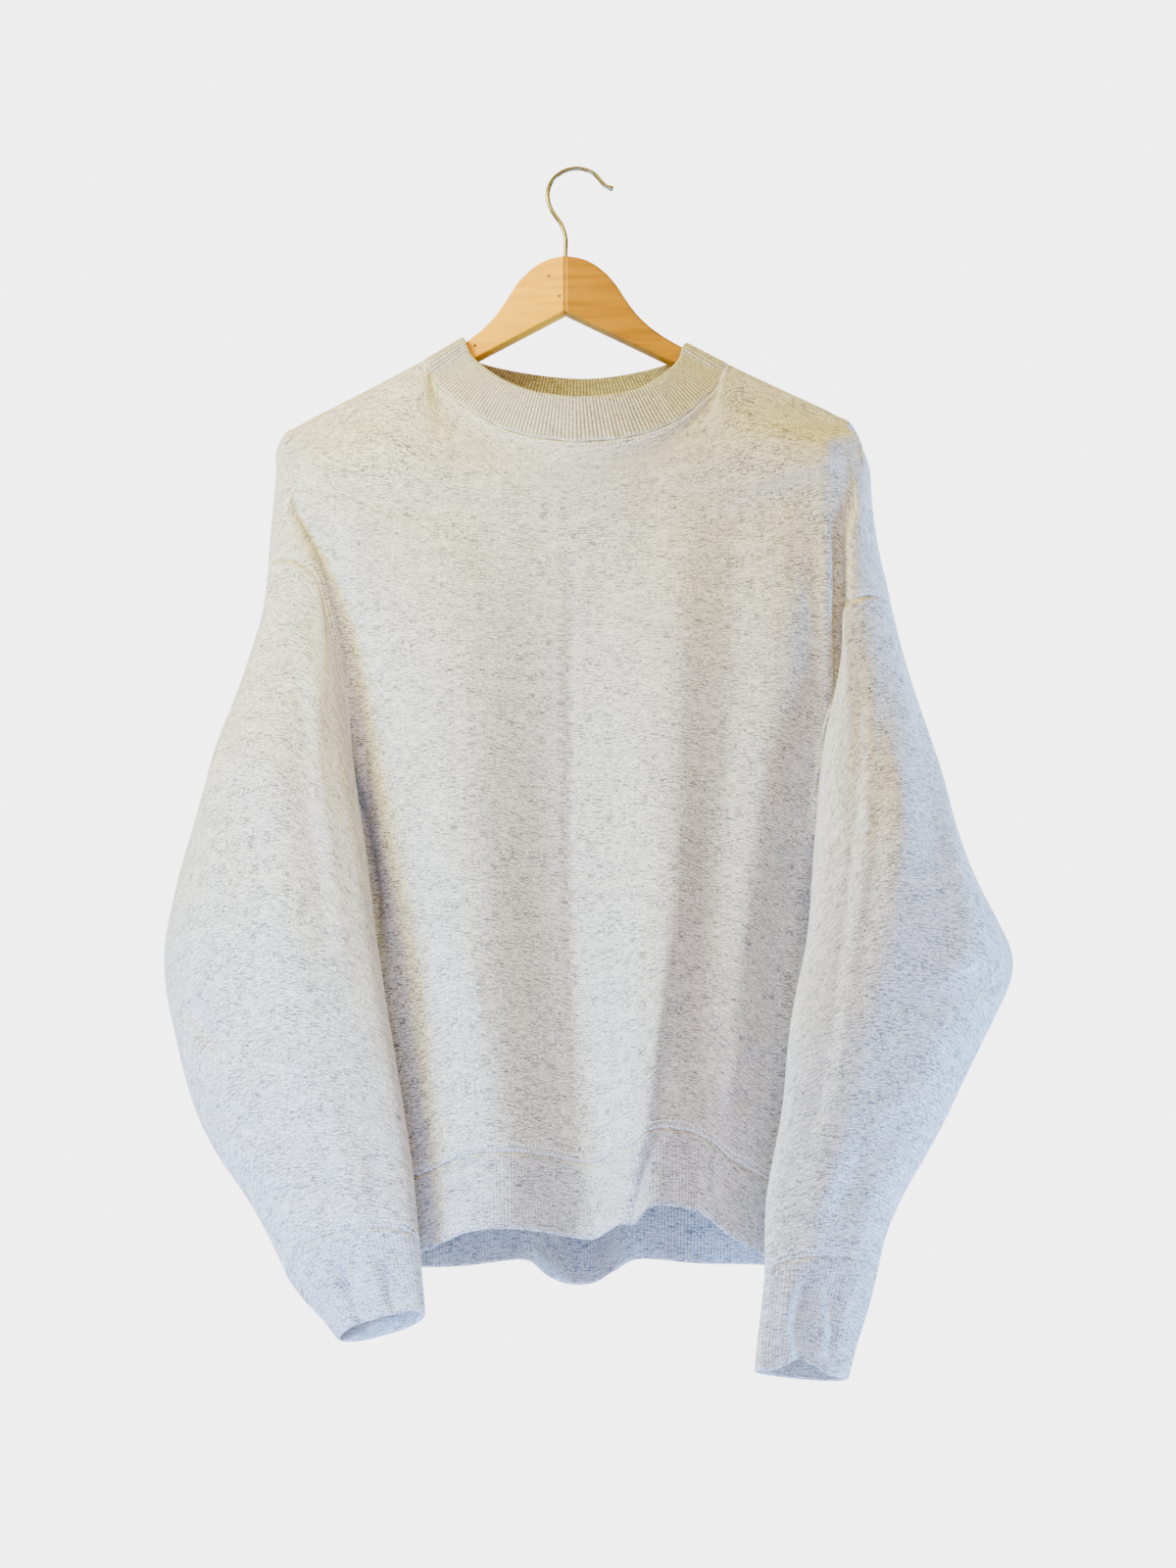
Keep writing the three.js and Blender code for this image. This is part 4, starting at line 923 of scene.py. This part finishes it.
def stitch_row(P, closed, border, distance, start=0, stop=None):
    """Notes a row of stitches on a piece at a distance in mm from its border."""
    N = normals_of(P, closed)
    if border in ("left", "right"):
        P, N = np.swapaxes(P, 0, 1), np.swapaxes(N, 0, 1)
    if border in ("bottom", "right"):
        P, N = P[::-1], N[::-1]
    P, N = P[:, start:stop], N[:, start:stop]
    run = run_along(P)
    columns = range(P.shape[1])
    STITCH_LINES.append([np.array([at_run(distance, run[:, j], A[:, j]) for j in columns]) for A in (P, N)])


def eased_shoulders(P):
    """P smoothed across beside the ends of the collar, where it comes down off the hanger."""
    m, n = P.shape[:2]
    reach = SHOULDER_EASE["reach"] * FINE
    offsets = np.arange(-int(reach), int(reach) + 1)
    weights = np.exp(-(offsets / (SHOULDER_EASE["spread"] * reach)) ** 2)
    cols = np.clip(np.arange(n)[:, None] + offsets[None], 0, n - 1)
    soft = np.tensordot(P[:, cols], weights / weights.sum(), axes=([2], [0]))
    rows = np.arange(m) / FINE
    down = (smooth_step(0, SHOULDER_EASE["top"], rows)
            * smooth_step(YOKE_ROW + SHOULDER_EASE["below_yoke"], YOKE_ROW, rows))
    beside = SHOULDER_EASE["beside"] * FINE
    across = sum(np.exp(-((np.arange(n) - c) / beside) ** 4) for c in (NECK_COLS, n - 1 - NECK_COLS))
    amount = (down[:, None] * across[None])[..., None]
    Q = mix(P, soft, amount)
    for i, j in zip(*np.nonzero(amount[..., 0] > 0.01)):
        Q[i, j] = clear_of_wood(Q[i, j], FLEECE)
    return Q


FOLDED = {}
for node in ("front", "back", "sleeve_left", "sleeve_right"):
    grid, closed = GRIDS[node]
    P = refine(refine(grid, FINE, axis=1, closed=closed), FINE, axis=0)
    P = folded(node, P if closed else eased_shoulders(P), closed)
    FOLDED[node] = P
    ob = shell(node + "_cloth", P, seam_half(P, FLEECE, closed), closed, FLEECE_LOOK)
    finish_cloth(ob, node)


def rib_wave(u):
    """1 in a groove, 0 on a rib, for places u counted in ribs along the cloth."""
    return np.clip(1 - np.abs(u % 1.0 - 0.5) * 3.4, 0, 1)


def rib_sides(count, per_rib):
    """The rib wave on the outer and on the inner face: a rib outside is a groove inside."""
    return [rib_wave(np.arange(count) / per_rib + shift)[None] for shift in (0, 0.5)]


def rows_at(P, fractions):
    at = np.asarray(fractions) * (len(P) - 1)
    i = np.minimum(at.astype(int), len(P) - 2)
    t = (at - i)[:, None, None]
    return P[i] * (1 - t) + P[i + 1] * t


# Rows down a rib from its seam to its free edge, closer together where the edge is rounded
RIB_ROWS = [0, 0.03, 0.08, 0.16, 0.25, 0.35, 0.45, 0.55, 0.65, 0.75, 0.84, 0.91, 0.955, 0.975, 0.988, 0.996, 1]


def edge_half(P, wall):
    """Half the wall: drawn in at the seam in the first row, rounded off at the last row's edge."""
    run = np.concatenate([[0], np.cumsum(np.linalg.norm(np.diff(P, axis=0), axis=-1).mean(axis=1))])
    left = np.clip((run[-1] - run) / (0.9 * wall), 0, 1)
    half = wall / 2 * np.maximum(0.12, np.sqrt(1 - (1 - left) ** 2))
    half[0] = wall / 2 * 0.6
    return np.repeat(half[:, None], P.shape[1], axis=1)


def ribbed_tube(node, grid):
    """A knitted rib tube: the grid respaced so that every rib has the same number of columns."""
    smooth = rows_at(refine(refine(grid, 8, axis=1, closed=True), 10, axis=0), RIB_ROWS)
    lengths = run_along(np.concatenate([smooth, smooth[:, :1]], axis=1), 1)[:, -1]
    count = int(round(lengths.mean() / BAND_RIB["pitch"])) * PER_RIB
    P = np.array([respace(np.concatenate([r, r[:1]]), evenly(count)[:-1]) for r in smooth])
    P = folded(node, P, True)
    ribs = [np.broadcast_to(side, P.shape[:2]) for side in rib_sides(count, PER_RIB)]
    return shell(node + "_cloth", P, edge_half(P, RIB), True, BAND_LOOK, ribs, BAND_RIB["depth"],
                 BAND_RIB["painted_groove_shades"])


for node in ("cuff_left", "cuff_right", "hem_band"):
    finish_cloth(ribbed_tube(node, GRIDS[node][0]), node)


# Collar
neck_loop = np.concatenate([neck_line("front"), neck_line("back")[::-1][1:]])
neck_loop = np.array([clear_of_wood(p, FLEECE) for p in neck_loop])


def collar_grid(rows):
    """The collar's middle surface, from its free edge down to the neck seam."""
    front, back = [refine(np.array(line, float)[:, 3:], 30) for line in (NECK_FRONT, NECK_BACK[::-1])]
    places = evenly(COLLAR_RIB["count"] * PER_RIB)[:-1]
    run = run_along(neck_loop)
    at, front_run = places * run[-1], run[NECK_STEPS["front"]]
    front = respace(front, np.clip(at / front_run, 0, 1))
    back = respace(back, np.clip((at - front_run) / (run[-1] - front_run), 0, 1))
    edge, seam = np.where((at <= front_run)[:, None], front, back), respace(neck_loop, places)
    return np.array([[clear_of_wood(p, RIB) for p in mix(edge, seam, w)] for w in rows])


COLLAR_ROWS = [1 - w for w in RIB_ROWS[::-1] if w < 0.9 or w > 0.95]
collar_P = collar_grid(COLLAR_ROWS)
ribs_fade = smooth_step(1.0, 0.93, np.array(COLLAR_ROWS))[:, None]
collar_ribs = [side * ribs_fade for side in rib_sides(collar_P.shape[1], PER_RIB)]
collar_half = edge_half(collar_P[::-1], RIB)[::-1]
collar = shell("collar_cloth", collar_P, collar_half, True, RIB_LOOK, collar_ribs, COLLAR_RIB["depth"],
               COLLAR_RIB["painted_groove_shades"])
finish_cloth(collar, "collar")


# Stitching: two rows on the fleece beside the neck, armhole, hem and cuff seams
STITCH = {"pitch": 3.2, "long": 2.9, "wide": 1.6, "high": 0.7}
for node in ("front", "back"):
    P = FOLDED[node]
    limb = (SHOULDER_ROW * FINE, (SHOULDER_ROW + LIMB_STEPS[node]) * FINE)
    for far in (2.0, 6.4):
        stitch_row(P, False, "top", far, NECK_COLS, NECK_COLS + NECK_STEPS[node] * FINE + 1)
        stitch_row(P, False, "bottom", far)
        stitch_row(P, False, "left", far, *limb)
        stitch_row(P, False, "right", far, *limb)
for node in ("sleeve_left", "sleeve_right"):
    for far in (2.0, 6.0):
        stitch_row(FOLDED[node], True, "bottom", far)


def stitches(name, lines, material):
    """Short raised stitches, each a spindle lying along its row."""
    verts, faces = [], []
    for line, normals in lines:
        run = run_along(line)
        count = int(run[-1] / STITCH["pitch"])
        for c in range(count):
            at = [(c + 0.5) * STITCH["pitch"] + d * STITCH["long"] / 2 for d in (-1, 0, 1)]
            a, p, b = at_run(at, run, line)
            up = unit(at_run(at[1], run, normals))
            side = np.cross(unit(b - a), up) * STITCH["wide"] / 2
            base = up * FLEECE / 2
            k = len(verts)
            verts += [a + base - up * 0.1, b + base - up * 0.1, p + base + side, p + base - side,
                      p + base + up * STITCH["high"]]
            faces += [(k, k + 2, k + 4), (k + 2, k + 1, k + 4), (k + 1, k + 3, k + 4), (k + 3, k, k + 4),
                      (k, k + 3, k + 1, k + 2)]
    ob = mesh_object(name, to_metres(verts), faces, material, smooth=False)
    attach(ob, "root")


stitches("seam_stitches", STITCH_LINES, THREAD_LOOK)


# Hanger
def loft(name, rings, material):
    """A solid through rings of points, capped at both ends."""
    rings = np.array(rings, float)
    m, n = rings.shape[:2]
    verts = list(to_metres(rings.reshape(-1, 3)))
    faces = []
    for i in range(m - 1):
        for j in range(n):
            a, b = i * n + j, i * n + (j + 1) % n
            faces.append((a, b, b + n, a + n))
    faces.append(tuple(range(n))[::-1])
    faces.append(tuple((m - 1) * n + j for j in range(n)))
    return mesh_object(name, verts, faces, material)


def wood_half(sign, look):
    """One arm of the hanger: rounded along its top, thinner and round at its end."""
    xs = np.concatenate([[0.15], np.linspace(3, 90, 36), np.linspace(96, WOOD_ROUND, 20), np.linspace(208, 223, 9)])
    rings = []
    for x in xs:
        end = max(0, (x - WOOD_ROUND) / (WOOD_END - WOOD_ROUND)) ** 2
        top, bottom = wood_top(x) - 3 * end, wood_under(x) + 3 * end
        half = WOOD_THICK / 2 - 5 * end
        ring = []
        for cy, cz, start in ((1, 1, 0), (-1, 1, 90), (-1, -1, 180), (1, -1, 270)):
            r = min(WOOD_EDGE, half - 0.2) if cz > 0 else 1.8
            for turn in np.linspace(0, 90, 7):
                a = math.radians(start + turn)
                y = ARM_SWEEP * x + cy * (half - r) + r * math.cos(a)
                z = (top - r if cz > 0 else bottom + r) + r * math.sin(a)
                ring.append((sign * x, y, z))
        rings.append(ring if sign > 0 else ring[::-1])
    return loft("hanger_wood_" + ("right" if sign > 0 else "left"), rings, look)


# One wood twice: a lit copy for the left arm and a darker, deeper orange copy for the right, painted light and
# shade on the two arms
pale_wood = wood("pale_wood", (0.84, 0.42, 0.0), (0.68, 0.30, 0.0))
amber_wood = wood("amber_wood", (0.40, 0.175, 0.0), (0.25, 0.09, 0.0))
for sign, look, node, slot in (
        (-1, pale_wood, "hanger_left", "pale_wood"), (1, amber_wood, "hanger_right", "amber_wood")):
    ob = wood_half(sign, look)
    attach(ob, "root")
    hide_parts(node)


NAILS = [(-12.8, -92.7), (-4.2, -110.5), (-71.3, -147.9)]
NAIL = {"radius": 1.5, "high": 0.25}


def nail_heads(material):
    """Low round heads on the front of the wood."""
    verts, faces = [], []
    for x, z in NAILS:
        face_y = ARM_SWEEP * abs(x) - WOOD_THICK / 2
        k = len(verts)
        for y, r in ((face_y + 0.3, NAIL["radius"]), (face_y - NAIL["high"], NAIL["radius"] * 0.75)):
            verts += [(x + r * math.cos(a), y, z + r * math.sin(a))
                      for a in np.linspace(0, 2 * math.pi, 14, endpoint=False)]
        faces += [(k + a, k + (a + 1) % 14, k + 14 + (a + 1) % 14, k + 14 + a) for a in range(14)]
        faces += [tuple(range(k, k + 14))[::-1], tuple(range(k + 14, k + 28))]
    ob = mesh_object("nail_heads", to_metres(verts), faces, material, smooth=False)
    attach(ob, "root")


def tube(name, line, radii, sides, material):
    """A round wire along a line, with a radius for each of its points."""
    line = np.asarray(line, float)
    along = np.gradient(line, axis=0)
    along /= np.linalg.norm(along, axis=1, keepdims=True)
    side = np.array([0.0, 1.0, 0.0])
    rings = []
    for p, t, r in zip(line, along, radii):
        u = unit(np.cross(side, t))
        v = np.cross(t, u)
        rings.append([p + r * (math.cos(a) * u + math.sin(a) * v)
                      for a in np.linspace(0, 2 * math.pi, sides, endpoint=False)])
    return loft(name, rings, material)


hook_points = [(0, -100), (0, -70), (0, -58), (-3.4, -46.5), (-10.2, -35.5)]
for n in range(8):
    turn = math.radians(mix(HOOK["to"], HOOK["from"], n / 7))
    hook_points.append((HOOK["x"] + HOOK["radius"] * math.cos(turn),
                        WIRE / 2 - HOOK["radius"] + HOOK["radius"] * math.sin(turn)))
hook_points += [(31.4, -13.6), (35, -15.6)]
hook_line = refine(np.array([(x, 0, z) for x, z in hook_points], float), 10)
tip_dir = unit(hook_line[-1] - hook_line[-2])
hook_radii = [WIRE / 2] * len(hook_line)
ball = [(0.3, 2.0), (0.9, 2.35), (1.8, 2.35), (2.7, 1.9), (3.2, 1.2), (3.5, 0.4)]
hook_line = np.concatenate([hook_line, [hook_line[-1] + tip_dir * a for a, _ in ball]])
hook_radii += [r for _, r in ball]
wire = wire_look()
nail_heads(wire)
hook = tube("hook_wire_bent", hook_line, hook_radii, 20, wire)
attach(hook, "root")
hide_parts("hook")


# Room and light
def area_light(name, azimuth, elevation, distance, size, power, colour, aim):
    """A round light aimed at the centre line at a height in metres."""
    data = bpy.data.lights.new(name, "AREA")
    data.shape = "DISK"
    data.size = size
    data.energy = power
    data.color = colour
    ob = bpy.data.objects.new(name, data)
    bpy.context.scene.collection.objects.link(ob)
    target = Vector((0, 0, aim))
    back = back_vector(azimuth, elevation)
    ob.location = target + back * distance
    ob.rotation_euler = (-back).to_track_quat("-Z", "Y").to_euler()


area_light("key", -60, -14, 1.7, 0.7, 82, (0.20, 0.47, 1.0), -0.80)
area_light("upper", -54, 24, 1.8, 0.8, 98, (0.94, 0.85, 0.27), -0.24)
area_light("top", 14, 36, 1.9, 1.2, 30, (0.94, 0.75, 0.08), -0.12)
area_light("low", 0, -45, 1.4, 1.0, 36, (0.15, 0.36, 1.0), -1.0)
area_light("right", 104, -8, 2.4, 0.9, 240, (0.22, 0.52, 1.0), -0.55)


SURROUND = (0.60, 0.30, 0.12)
BACKDROP = grey(5.0)
BEHIND = {"direction": (0.0, 0.95, 0.31), "from": 0.72, "full": 0.9}
FLOOR = {"half": 30, "z": -2.2}


def room():
    """A surround that is warm and, behind the garment, pale for the light, and even and pale for
    the camera."""
    n = Nodes("world", bpy.data.worlds, "Background")
    bpy.context.scene.world = n.owner
    place = n.new("ShaderNodeTexCoord").outputs["Generated"]
    behind = n.maths("DOT_PRODUCT", place, BEHIND["direction"], "ShaderNodeVectorMath", "Value")
    light = n.ramp(behind, [(BEHIND["from"], SURROUND), (BEHIND["full"], BACKDROP)])
    seen = n.new("ShaderNodeLightPath").outputs["Is Camera Ray"]
    n.shade(Color=n.blend(seen, light, (*BACKDROP, 1)), Strength=1.0)


room()
floor_look = Nodes("floor")
floor_place = floor_look.new("ShaderNodeTexCoord").outputs["Object"]
floor_tone = floor_look.ramp(floor_look.noise(floor_place, 3.0, 3.0), [(0.3, grey(0.90)), (0.7, grey(0.93))])
floor_look.shade(Base_Color=floor_tone, Roughness=0.9)
floor_corners = [(a * FLOOR["half"], b * FLOOR["half"], FLOOR["z"])
                 for a, b in ((-1, -1), (1, -1), (1, 1), (-1, 1))]
floor = mesh_object("floor", floor_corners, [(0, 1, 2, 3)], floor_look.owner, smooth=False)
